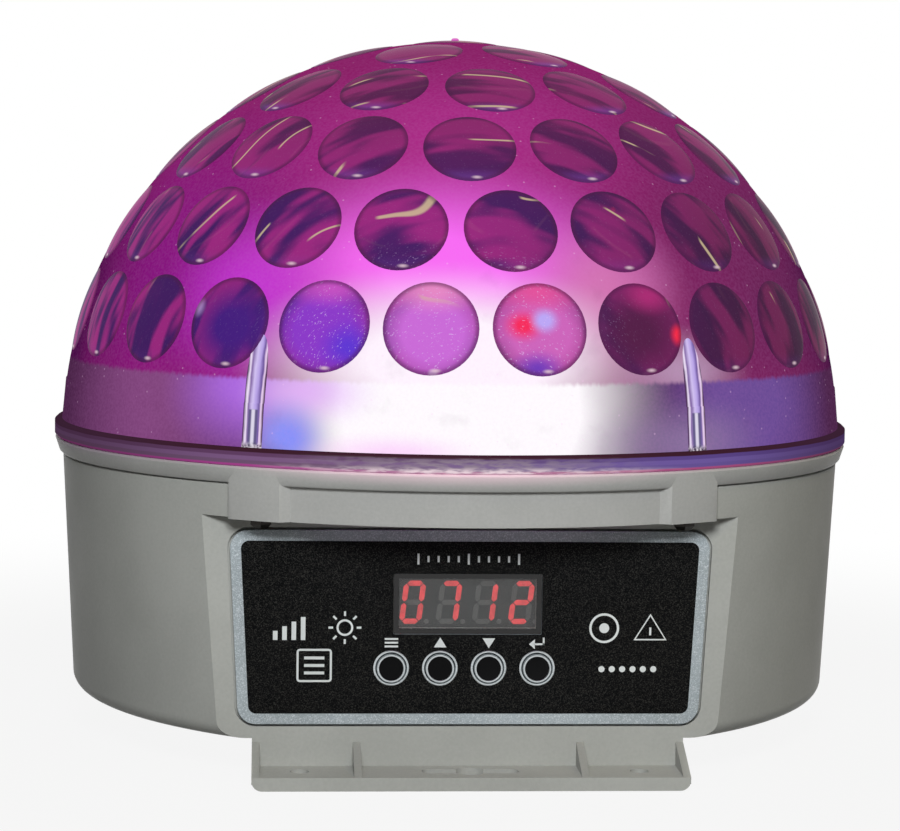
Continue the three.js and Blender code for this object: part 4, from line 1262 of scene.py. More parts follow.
RIM_GLOW = Glowing(
    "rim_glow", Slot.DOME, shade(120, 40, 110),
    light=(0.95, 0.22, 0.75, 1.0), strength=0.7, scale=60.0,
)
SEGMENT_LIT = Glowing(
    "segment_lit", Slot.DISPLAY, shade(120, 20, 20), 0.4,
    light=(1.0, 0.07, 0.08, 1.0), strength=1.0, scale=600.0,
)
SEGMENT_DARK = Moulded("segment_dark", Slot.DISPLAY, shade(112, 112, 110), 0.5, 0.1, grain=2500.0)
DISPLAY_FACE = Moulded("display_face", Slot.DISPLAY, shade(66, 68, 68), 0.5, 0.1, grain=2500.0)

# Painted light on the dome: brightest low at the front where the LEDs inside shine, with painted
# shade darker towards the left and right edges.
DOME_SPOTS = (
    Spot((-80, -60, 122), (80, 90, 70), (134, 32, 128), 0.9),
    Spot((82, -55, 125), (78, 90, 85), (104, 44, 84), 1.0),
    Spot((-104, -8, 105), (50, 70, 80), (72, 26, 70), 1.2),
    Spot((104, -12, 105), (48, 70, 80), (62, 28, 60), 1.2),
    Spot((-6, -66, 150), (62, 60, 34), (178, 54, 142), 0.75),
    Spot((-10, -97, 122), (66, 60, 32), (248, 110, 244), 1.15),
    Spot((-54, -84, 116), (30, 44, 28), (196, 58, 212), 0.85),
    Spot((30, -92, 118), (26, 38, 23), (214, 126, 178), 0.8),
    Spot((-8, -101, 102), (58, 44, 24), (255, 246, 255), 1.5),
    Spot((48, -88, 99), (24, 30, 12), (186, 156, 186), 0.9),
)
SKIRT_SPOTS = (
    Spot((-76, -66, 90), (42, 56, 60), (128, 74, 124), 1.1),
    Spot((66, -76, 90), (40, 60, 60), (106, 80, 148), 1.2),
    Spot((-54, -86, 94), (24, 40, 22), (170, 108, 222), 1.0),
    Spot((-5, -101, 92), (55, 48, 60), (255, 253, 255), 2.0),
    Spot((-40, -94, 94), (20, 24, 10), (228, 178, 252), 0.8),
    Spot((-44, -91, 83), (12, 24, 11), (136, 148, 248), 1.0),
    Spot((-20, -99, 80), (24, 24, 6), (252, 206, 252), 0.8),
    Spot((48, -88, 82), (30, 36, 13), (138, 118, 158), 0.9),
)
DOME_SKIN = Frosted(
    "dome_skin", Slot.DOME, (0.02, 0.005, 0.018, 1.0), 0.5, 0.0,
    spots=DOME_SPOTS, low_spots=SKIRT_SPOTS, boundary=96.2 * MM,
)
WHEEL_GLOW = Frosted(
    "wheel_glow", Slot.OPTICS, (0.3, 0.3, 0.32, 1.0), 0.2, glow=shade(150, 60, 160),
    spots=(
        Spot((-45, -40, 88), (50, 60, 30), (120, 90, 250), 0.9),
        Spot((5, -55, 88), (45, 50, 30), (235, 215, 245), 1.0),
        Spot((55, -30, 88), (40, 60, 30), (240, 60, 90), 0.9),
        Spot((0, 50, 88), (80, 60, 30), (170, 60, 140), 0.8),
    ),
    strength=1.4,
)


def seat(
    piece: Piece,
    finishes: Sequence[Finish],
    body: Body = Body.HOUSING,
    stands_for: Sequence[str] = (),
    smooth: float = 30,
) -> Piece:
    """Shades, paints and places a finished piece.

    Args:
        piece: The piece, with its place in its mesh.
        finishes: Its finishes in the order of its faces' numbers.
        body: The body that it rides on.
        stands_for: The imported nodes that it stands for.
        smooth: Edges flatter than this angle in degrees are shaded smooth.

    Returns:
        The same piece.
    """
    settle(piece)
    bpy.ops.object.shade_smooth_by_angle(angle=math.radians(smooth))
    piece.data.materials.clear()
    for finish in finishes:
        piece.data.materials.append(finish.material())
    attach(piece, body.value)
    if stands_for:
        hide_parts(*stands_for)
    LOG.info("%s: %d faces on %s", piece.name, len(piece.data.polygons), body.value)
    return piece


def paint_faces(piece: Piece, chooser: Chooser) -> None:
    """Numbers each face's finish by its middle and its normal."""
    for face in piece.data.polygons:
        face.material_index = chooser(face.center, face.normal)


def map_corners(piece: Piece, mapper: Callable[[Vector], Flat]) -> None:
    """Gives a piece its own flat map, worked out from the place of each corner.

    Args:
        piece: The piece that changes.
        mapper: Gives the place on the map for a place on the piece.
    """
    while piece.data.uv_layers:
        piece.data.uv_layers.remove(piece.data.uv_layers[0])
    layer = piece.data.uv_layers.new(name="UVMap")
    for loop in piece.data.loops:
        layer.data[loop.index].uv = mapper(piece.data.vertices[loop.vertex_index].co)


# Sub-assemblies


@dataclass(frozen=True)
class LensRow:
    """A row of lenses round the dome.

    Attributes:
        latitude: Its height over the horizon, in degrees.
        count: The number of lenses.
        turn_share: How far the first lies from the front, as a share of the pitch.
    """

    latitude: float
    count: int
    turn_share: float

    def directions(self) -> list[Vector]:
        """Returns the unit vector through the middle of each lens."""
        rise = math.radians(self.latitude)
        found = []
        for i in range(self.count):
            turn = (i + self.turn_share) * math.tau / self.count
            flat = math.cos(rise)
            found.append(Vector((flat * math.sin(turn), -flat * math.cos(turn), math.sin(rise))))
        return found


@dataclass
class LensDome:
    """The frosted half-dome with its clear lenses, screw bosses and flange."""

    radius: float = 102 * MM
    wall: float = 2.5 * MM
    centre: float = 77.2 * MM
    seat_height: float = 76.0 * MM
    flange_top: float = 80.2 * MM
    flange_radius: float = 104.2 * MM
    flange_edge: float = 0.5 * MM
    skirt_foot: float = 102.3 * MM
    skirt_top: float = 90.5 * MM
    skirt_step: float = 0.2 * MM
    lens_radius: float = 11.15 * MM
    lens_curve: float = 60 * MM
    lens_flank: float = 0.3 * MM
    boss_radius: float = 2.7 * MM
    boss_axis: float = 97.8 * MM
    boss_turns: tuple[float, ...] = (-30.75, 30.75, 149.25, -149.25)
    window_proud: float = 0.12 * MM
    nub_radius: float = 1.0 * MM
    nub_top: float = 180.4 * MM
    rows: tuple[LensRow, ...] = (
        LensRow(18.1, 24, -0.45),
        LensRow(32.2, 21, -0.7),
        LensRow(46.2, 17, -0.04),
        LensRow(60.1, 12, 0.2),
        LensRow(74.3, 6, -0.39),
        LensRow(90.0, 1, 0.0),
    )

    def sphere(self, radius: float, low: float, steps: int) -> list[Flat]:
        """Returns a sphere's profile from a height up to the pole.

        Args:
            radius: The sphere's radius.
            low: The height where the profile starts.
            steps: The number of steps in it.
        """
        start = math.degrees(math.asin((low - self.centre) / radius))
        points = arc((0, self.centre), radius, start, 90, steps)
        return [*points[:-1], (0, self.centre + radius)]

    def outside(self, grow: float) -> list[Flat]:
        """Returns the outer profile from the flange to the pole, grown by a margin.

        Args:
            grow: The margin, in metres.
        """
        shoulder = math.sqrt(self.radius**2 - (self.skirt_top - self.centre) ** 2)
        return [
            (self.skirt_foot + grow, self.flange_top),
            (shoulder + self.skirt_step + grow, self.skirt_top),
            *self.sphere(self.radius + grow, self.skirt_top + self.skirt_step / 4, 52),
        ]

    def build(self) -> None:
        """Makes every piece of the dome."""
        self.build_wall()
        self.build_lenses()
        self.build_bosses()
        self.build_flange()
        self.build_nub()

    def build_wall(self) -> None:
        """Spins the wall and cuts the holes for the lenses."""
        inner = self.radius - self.wall
        down = reversed(self.sphere(inner, self.flange_top, 52))
        wall = spun("dome_wall", [*self.outside(0), *down])
        origin = Vector((0, 0, self.centre))
        middle_wall = self.radius - self.wall / 2
        cutters = []
        for direction in (d for row in self.rows for d in row.directions()):
            place = origin + direction * middle_wall
            cutters.append(peg(self.lens_radius, self.wall * 3, place, direction, 48))
        cutter = fuse(cutters)
        settle(cutter)
        for body in (wall, cutter):
            for _ in range(3):
                body.data.materials.append(None)
        paint_faces(cutter, lambda middle, normal: 2)
        paint_faces(wall, lambda middle, normal: int((middle - origin).length < middle_wall))
        combine(wall, [cutter], Operation.CUT)
        seat(wall, [DOME_SKIN, ROSE_GLOW, RIM_GLOW], stands_for=["lens_dome"])

    def lens_profile(self) -> list[Flat]:
        """Returns half the section of a lens, with the sphere's pole at height zero."""
        edge = self.lens_radius - 0.02 * MM
        face = edge - self.lens_flank
        dip = self.radius - math.sqrt(self.radius**2 - edge**2)
        rise = self.lens_curve - math.sqrt(self.lens_curve**2 - face**2)
        rim = -dip + 0.16 * MM
        back = -dip - self.wall
        swing = math.degrees(math.asin(face / self.lens_curve))
        front = arc((0, rim + rise - self.lens_curve), self.lens_curve, 90 - swing, 90, 9)
        rear = arc((0, back - rise + self.lens_curve), self.lens_curve, -90, swing - 90, 9)
        side = [(edge, back + 0.1 * MM), (edge, rim - 0.12 * MM)]
        return [(0, rear[0][1]), *rear[1:], *side, *front[:-1], (0, front[-1][1])]

    def build_lenses(self) -> None:
        """Spins one lens and copies it to every place, row by row."""
        pattern = spun("lens", self.lens_profile(), 48)
        radius = self.lens_radius
        map_corners(pattern, lambda place: (place.x / radius, place.y / radius))
        for number, row in enumerate(self.rows, 1):
            lenses = []
            for direction in row.directions():
                place = Vector((0, 0, self.centre)) + direction * self.radius
                turn = direction.to_track_quat("Z", "Y").to_matrix().to_4x4()
                matrix = Matrix.Translation(place) @ turn
                lenses.append(copied(pattern, f"lenses_row_{number}", matrix))
            seat(fuse(lenses), [LENS_CLEAR], smooth=40)
        discard(pattern)

    def build_bosses(self) -> None:
        """Shows the clear screw bosses through the skirt as four smooth windows."""
        inner = self.radius - self.wall
        steps = 24
        sides = []
        for i in range(steps + 1):
            swing = math.pi * i / steps
            out = self.boss_axis - self.boss_radius * math.sin(swing)
            height = self.centre + math.sqrt(inner**2 - out**2)
            sides.append((self.boss_radius * math.cos(swing), height))
        half, foot = self.boss_radius, self.flange_top
        outline = [*sides, (-half, foot), (half, foot)]
        far = self.radius + 2 * MM
        shafts = []
        for turn in self.boss_turns:
            shaft = prism("boss_windows", outline, Facing.FRONT, self.boss_axis, far)
            shaft.data.transform(Matrix.Rotation(math.radians(turn), 4, "Z"))
            shafts.append(shaft)
        proud = self.window_proud
        shell = spun("boss_shell", [*self.outside(proud), *reversed(self.outside(-3 * proud))])
        windows = combine(shell, [fuse(shafts)], Operation.KEEP)
        windows.name = "boss_windows"
        map_corners(windows, self.window_place)
        seat(windows, [BOSS_WINDOW])

    def window_place(self, place: Vector) -> Flat:
        """Returns how far a place lies across and up its boss's window.

        Args:
            place: A place on the window, in metres.
        """
        turn = math.degrees(math.atan2(place.x, -place.y))
        nearest = min(self.boss_turns, key=lambda boss: abs(boss - turn))
        swing = math.radians(turn - nearest)
        across = math.hypot(place.x, place.y) * math.sin(swing)
        height = self.skirt_top - self.flange_top
        return (across / self.boss_radius, (place.z - self.flange_top) / height)

    def build_flange(self) -> None:
        """Spins the clear flange that rests on the bezel ring."""
        low, high = self.seat_height, self.flange_top
        inner, outer = self.radius - self.wall, self.flange_radius
        edge = self.flange_edge
        profile = [
            (inner, low),
            (outer - edge, low),
            (outer, low + edge),
            (outer, high - edge),
            (outer - edge, high),
            (inner, high),
        ]
        seat(spun("dome_flange", profile, 200), [FLANGE_CLEAR])

    def build_nub(self) -> None:
        """Spins the gate mark at the pole."""
        foot = self.centre + self.radius - self.wall / 2
        top, radius = self.nub_top, self.nub_radius
        profile = [
            (0, foot),
            (radius * 1.15, foot),
            (radius, foot + self.wall * 0.6),
            (radius, top - 0.3 * MM),
            (radius * 0.6, top),
            (0, top),
        ]
        seat(spun("dome_nub", profile, 24), [RIM_GLOW])


@dataclass(frozen=True)
class Banded(Finish):
    """Clear plastic whose look changes with height, painted as the light in it shows.

    Attributes:
        bands: Height in millimetres, colour of the left half and colour of the right half.
        spots: Patches of stronger light in it.
        top: Where the top face starts, in millimetres.
        strength: The strength of the painted light.
    """

    bands: tuple[tuple[float, Colour, Colour], ...] = ()
    spots: tuple[Spot, ...] = ()
    top: float = 79.5
    strength: float = 0.8

    def paint(self, bench: NodeBench, shader: Node) -> None:
        """Paints the bands by height and blends them from left to right, with painted shade on the
        top face and towards the sides.

        Args:
            bench: The material's nodes.
            shader: Its surface shader.
        """
        place = bench.place()
        parts = bench.split(place)
        side = bench.ease(parts[0], -0.05, 0.05)
        wobble = bench.times(bench.noise(place, 90.0, 3.0), 0.3 * MM)
        height = bench.math("ADD", parts[2], wobble)
        colour: object = self.base
        for level, left, right in self.bands:
            edge = bench.ease(height, (level - 0.12) * MM, (level + 0.12) * MM)
            colour = bench.mix(edge, colour, bench.mix(side, left, right))
        streaks = bench.noise(bench.stretch(place, (1.0, 1.0, 5.0)), 260.0, 3.0)
        gain = bench.ease(streaks, 0.35, 0.62, 0.25, 1.1)
        colour = spotted(bench, place, colour, self.spots, gain)
        # Painted shade: the top takes the darkest band, where the flange meets the foot of the
        # skirt.
        top = bench.ease(parts[2], self.top * MM, (self.top + 0.3) * MM)
        colour = bench.mix(top, colour, self.bands[-1][1])
        # Painted shade: darker towards the left and right sides.
        far = bench.ease(bench.math("ABSOLUTE", parts[0]), 0.05, 0.1, 0.0, 0.72)
        bench.glow(shader, bench.mix(far, colour, shade(60, 36, 58)), self.strength)
        bench.gloss(shader, streaks, 0.3, 0.7, self.roughness, self.roughness + 0.1)


@dataclass(frozen=True)
class Columned(Finish):
    """A clear screw boss behind the skirt, painted as glowing light with painted highlights and
    shade along its edges and its bore.

    Attributes:
        stops: Place across the boss, from nothing to one, and colour.
        bore_top: Height of the bore's end on the window's own map.
    """

    stops: tuple[tuple[float, Colour], ...] = ()
    bore_top: float = 0.86

    def paint(self, bench: NodeBench, shader: Node) -> None:
        """Paints glowing light with bright highlight lines and dark shade lines along the boss, and
        the bore with its screw.

        Args:
            bench: The material's nodes.
            shader: Its surface shader.
        """
        flat = bench.flat()
        across, up = flat[0], flat[1]
        place = bench.math("ADD", bench.times(across, 0.5), 0.5)
        grain = bench.noise(bench.stretch(bench.place(), (1.0, 1.0, 0.08)), 900.0, 3.0)
        drift = bench.times(bench.math("SUBTRACT", grain, 0.5), 0.16)
        colour = bench.ramp(bench.math("ADD", place, drift), self.stops)
        away = bench.math("ABSOLUTE", across)
        below = bench.ease(up, self.bore_top - 0.02, self.bore_top + 0.02, 1.0, 0.0)
        inside = bench.times(bench.ease(away, 0.42, 0.5, 1.0, 0.0), below)
        colour = bench.mix(inside, colour, shade(92, 84, 130))
        shank = bench.times(bench.ease(away, 0.08, 0.26, 1.0, 0.0), below)
        colour = bench.mix(bench.times(shank, 0.8), colour, shade(236, 232, 248))
        # Painted glints: bright and dark specks along the foot of the window.
        foot = bench.ease(up, 0.0, 0.16, 0.85, 0.0)
        foot_glints = bench.ease(bench.noise(bench.place(), 1400.0, 2.0), 0.4, 0.6)
        base = bench.mix(foot_glints, shade(34, 22, 34), shade(214, 206, 214))
        bench.glow(shader, bench.mix(foot, colour, base), 1.0)
        bench.gloss(shader, grain, 0.3, 0.7, self.roughness, self.roughness + 0.1)


FLANGE_CLEAR = Banded(
    "flange_clear", Slot.DOME, (0.02, 0.008, 0.014, 1.0), 0.3, 0.0,
    bands=(
        (75.9, shade(172, 70, 146), shade(176, 84, 134)),
        (76.7, shade(112, 84, 116), shade(104, 86, 156)),
        (77.6, shade(126, 92, 136), shade(112, 92, 166)),
        (78.6, shade(98, 64, 102), shade(92, 72, 144)),
        # Painted shade: the dark band under the foot of the skirt.
        (79.5, shade(52, 22, 34), shade(54, 22, 34)),
    ),
    spots=(
        Spot((-4, -104, 78), (56, 30, 3), (156, 142, 156), 0.85),
        Spot((-2, -104, 76.4), (64, 30, 1.4), (252, 230, 238), 1.0),
    ),
)
BOSS_WINDOW = Columned(
    "boss_window", Slot.DOME, (0.02, 0.01, 0.02, 1.0), 0.16, 0.08,
    stops=(
        (0.03, shade(70, 40, 84)),
        (0.13, shade(240, 226, 250)),
        (0.24, shade(120, 92, 156)),
        (0.42, shade(206, 190, 238)),
        (0.62, shade(176, 156, 224)),
        (0.78, shade(96, 72, 146)),
        (0.88, shade(240, 214, 246)),
        (0.98, shade(64, 36, 72)),
    ),
)


@dataclass
class BezelRing:
    """The white ring under the dome, with an apron and two lugs at the front and the rear."""

    foot: float = 71.7 * MM
    top: float = 75.8 * MM
    plate_foot: float = 73.6 * MM
    top_radius: float = 104.0 * MM
    foot_radius: float = 103.0 * MM
    inner_radius: float = 90 * MM
    inside: float = 100.5 * MM
    lug_foot: float = 63.2 * MM
    apron_radius: float = 101 * MM
    apron_wall: float = 2.1 * MM
    flat: float = 79.4 * MM
    inner_turn: float = 26.4
    outer_turn: float = 34.0
    chamfer: float = 1.1
    proud: float = 0.05 * MM
    edge: float = 0.5 * MM
    screw_place: Flat = (50 * MM, 84.05 * MM)
    screw_radius: float = 1.9 * MM
    head_radius: float = 3.3 * MM
    head_top: float = 63.6 * MM

    def apron_outline(self) -> list[Flat]:
        """Returns the outline of the front apron and its lugs, seen from above."""
        front = -90.0
        inner, outer = self.inner_turn, self.outer_turn
        near = inner - self.chamfer
        inside = self.apron_radius - self.apron_wall
        flat = self.flat

        def on_flat(turn: float) -> Flat:
            """Returns the place on the flat at a turn from the front."""
            return (flat * math.tan(math.radians(turn)), -flat)

        lug = self.foot_radius + self.proud
        return [
            *arc((0, 0), lug, front - outer, front - inner, 10),
            *arc((0, 0), self.apron_radius, front - near, front + near, 60),
            *arc((0, 0), lug, front + inner, front + outer, 10),
            on_flat(outer),
            on_flat(inner),
            *arc((0, 0), inside, front + near, front - near, 60),
            on_flat(-inner),
            on_flat(-outer),
        ]

    def build(self) -> None:
        """Spins the ring and joins the aprons to it."""
        edge = self.edge
        profile = [
            (self.inside, self.foot),
            (self.foot_radius - edge, self.foot),
            (self.foot_radius, self.foot + edge),
            (self.top_radius, self.top - edge),
            (self.top_radius - edge, self.top),
            (self.inner_radius, self.top),
            (self.inner_radius, self.plate_foot),
            (self.inside, self.plate_foot),
        ]
        ring = spun("bezel_shell", profile, 200)
        outline = self.apron_outline()
        middle = (self.plate_foot + self.top) / 2
        aprons = []
        for turn in (0.0, math.pi):
            apron = prism("apron", outline, Facing.TOP, self.lug_foot, middle)
            apron.data.transform(Matrix.Rotation(turn, 4, "Z"))
            aprons.append(apron)
        combine(ring, aprons, Operation.JOIN)
        low, high = self.lug_foot - 3 * MM, self.top + MM
        holes = []
        for place in corners(*self.screw_place):
            holes.append(rod("hole", self.screw_radius, Facing.TOP, place, low, high, 24))
            holes.append(rod("rebate", self.head_radius, Facing.TOP, place, low, self.head_top, 24))
        combine(ring, holes, Operation.CUT)
        soften(ring, 0.25 * MM, 2, 50)
        seat(ring, [RING_PLASTIC], stands_for=["bezel_ring"])


@dataclass
class BaseShell:
    """The base with its flats, its foot and the holes in its walls."""

    foot: float = 9.9 * MM
    floor_top: float = 12.4 * MM
    shoulder: float = 71.4 * MM
    rim_top: float = 73.4 * MM
    top_radius: float = 102 * MM
    foot_radius: float = 99.3 * MM
    edge: float = 4 * MM
    rim_radius: float = 100.2 * MM
    wall: float = 2.5 * MM
    flat: float = 79 * MM
    ledge: float = 63.5 * MM
    foot_half: float = 51.75 * MM
    reach: float = 13.5 * MM
    flange: float = 3.2 * MM
    recess: float = 77.6 * MM
    outer_turn: float = 34.0
    proud: float = 0.02 * MM
    lip: float = 0.4 * MM
    inner_round: float = 2 * MM
    foot_round: float = 2.5 * MM
    hole_inset: float = 6.2 * MM
    hole_side: float = 40.4 * MM
    hole_radius: float = 2.25 * MM
    key_radius: float = 4 * MM
    slot: Flat = (23.2 * MM, 4.6 * MM)
    rib_half: float = 0.9 * MM
    rib_side: float = 26.8 * MM
    recess_gap: float = 0.6 * MM
    display_hole: Flat = (32.9 * MM, 12 * MM)
    button_hole: float = 3.75 * MM
    inlet_hole: Flat = (27.8 * MM, 20.4 * MM)
    round_holes: tuple[Triple, ...] = (
        (11.9, -6, 33),
        (11.9, -37, 33),
        (1.5, -8.4, 52),
    )
    case_place: Flat = (63.64 * MM, 63.64 * MM)
    case_post: Flat = (5 * MM, 61.4 * MM)
    case_bore: Flat = (3.4 * MM, 58.4 * MM)
    plate_place: Flat = (64.09 * MM, 37 * MM)
    plate_post: Flat = (4.5 * MM, 65.0 * MM)

    def round_body(self) -> Piece:
        """Returns the outside of the base, spun in one go."""
        corner = arc((self.foot_radius - self.edge, self.foot + self.edge), self.edge, -90, 0, 8)
        profile = [
            (0, self.foot),
            *corner,
            (self.top_radius, self.shoulder - self.lip),
            (self.top_radius - self.lip, self.shoulder),
            (self.rim_radius, self.shoulder),
            (self.rim_radius, self.rim_top),
            (0, self.rim_top),
        ]
        return spun("base_shell", profile, 200)

    def flat_cut(self) -> list[Piece]:
        """Returns what the front and rear flats take off the body."""
        far = self.top_radius + 5 * MM
        below = block("below", (-far, -far, 0), (far, -self.flat, self.ledge))
        half = far * math.tan(math.radians(self.outer_turn)) + self.lip
        near = self.flat * math.tan(math.radians(self.outer_turn)) + self.lip
        wedge = [(-half, -far), (half, -far), (near, -self.flat), (-near, -self.flat)]
        above = prism("above", wedge, Facing.TOP, self.ledge - MM, self.rim_top + MM)
        front = combine(below, [above], Operation.JOIN)
        rear = copied(front, "rear_cut", Matrix.Rotation(math.pi, 4, "Z"))
        return [front, rear]

    def hollow(self) -> Piece:
        """Returns the space inside the base."""
        foot_radius = self.foot_radius - self.wall
        rim = self.rim_radius - self.wall
        turn = self.inner_round
        profile = [
            (0, self.floor_top),
            *arc((foot_radius - turn, self.floor_top + turn), turn, -90, 0, 5),
            (rim, self.shoulder - self.wall),
            (rim, self.rim_top + MM),
            (0, self.rim_top + MM),
        ]
        inside = spun("hollow", profile, 120)
        far = self.top_radius
        back = self.flat - self.wall
        keep = block("keep", (-far, -back, 0), (far, back, self.rim_top + 2 * MM))
        return combine(inside, [keep], Operation.KEEP)

    def foot_body(self) -> Piece:
        """Returns the skirt of the foot with its two flanges, ribs, holes and slots."""
        half, flat = self.foot_half, self.flat + self.proud
        top = self.foot + self.wall / 2
        skirt = block("skirt", (-half, -flat, 0), (half, flat, top))
        thin = self.wall
        room = block("room", (thin - half, thin - flat, -MM), (half - thin, flat - thin, self.foot))
        combine(skirt, [room], Operation.CUT)
        front = self.flat + self.reach
        corner = self.foot_round
        section = [
            *arc((half - corner, corner), corner, -90, 0, 6),
            (half, self.flange),
            (-half, self.flange),
            *arc((corner - half, corner), corner, 180, 270, 6),
        ]
        plate = prism("plate", section, Facing.FRONT, flat - thin, front)
        hole_y = -flat - self.hole_inset
        low, high = -MM, 5 * MM
        tools = []
        for x in (-self.hole_side, self.hole_side):
            tools.append(rod("hole", self.hole_radius, Facing.TOP, (x, hole_y), low, high, 40))
        middle = (0, hole_y)
        slot = rounded(*self.slot, self.hole_radius, middle, 8)
        tools.append(prism("slot", slot, Facing.TOP, low, high))
        tools.append(rod("key", self.key_radius, Facing.TOP, middle, low, high, 40))
        combine(plate, tools, Operation.CUT)
        root = flat - thin / 2
        rib_half = self.rib_half
        high = self.foot - rib_half
        profile = [
            (-root, self.flange / 2),
            (-front, self.flange / 2),
            (-front, self.flange),
            (-flat, high),
            (-root, high),
        ]
        ends = half - rib_half
        for x in (-ends, -self.rib_side, self.rib_side, ends):
            rib = prism("rib", profile, Facing.RIGHT, x - rib_half, x + rib_half)
            combine(plate, [rib], Operation.JOIN)
        other = copied(plate, "other_plate", Matrix.Rotation(math.pi, 4, "Z"))
        return combine(skirt, [plate, other], Operation.JOIN)

    def front_cuts(self) -> list[Piece]:
        """Returns the panel's recess, the display's opening and the button holes."""
        through, inside = self.flat + MM, self.flat - self.wall - MM
        panel = ControlPanel()
        lift = panel.foot
        recess = [(x, y + lift) for x, y in panel.outline(self.recess_gap)]
        opening = rounded(*self.display_hole, 0.3 * MM, panel.display_middle(), 2)
        cuts = [
            prism("recess", recess, Facing.FRONT, self.recess, through),
            prism("opening", opening, Facing.FRONT, inside, through),
        ]
        for x in Buttons().places():
            middle = (x, lift + panel.button_rise)
            cuts.append(rod("hole", self.button_hole, Facing.FRONT, middle, inside, through, 40))
        return cuts

    def rear_cuts(self) -> list[Piece]:
        """Returns the holes for the inlet, the sockets and the microphone."""
        through, inside = self.flat + MM, self.flat - self.wall - MM
        rear = RearPanel()
        shape = rounded(*self.inlet_hole, rear.corner, (rear.inlet_x, rear.height), 5)
        cuts = [prism("inlet_hole", shape, Facing.REAR, inside, through)]
        for radius, x, z in self.round_holes:
            middle = (x * MM, z * MM)
            cuts.append(rod("hole", radius * MM, Facing.REAR, middle, inside, through, 48))
        return cuts

    def uprights(self, place: Flat, size: Flat, low: float) -> list[Piece]:
        """Returns four upright bars, from their place, their radius and top, and their foot."""
        radius, top = size
        return [rod("upright", radius, Facing.TOP, at, low, top, 28) for at in corners(*place)]

    def build(self) -> None:
        """Makes the base in one piece."""
        shell = self.round_body()
        combine(shell, [*self.flat_cut(), self.hollow()], Operation.CUT)
        combine(shell, [self.foot_body()], Operation.JOIN)
        low = self.foot + MM
        posts = self.uprights(self.case_place, self.case_post, low)
        posts += self.uprights(self.plate_place, self.plate_post, low)
        combine(shell, posts, Operation.JOIN)
        bores = self.uprights(self.case_place, self.case_bore, 0)
        combine(shell, [*bores, *self.front_cuts(), *self.rear_cuts()], Operation.CUT)
        soften(shell, 0.22 * MM, 2, 50)
        seat(shell, [HOUSING_PLASTIC], stands_for=["base_housing"])


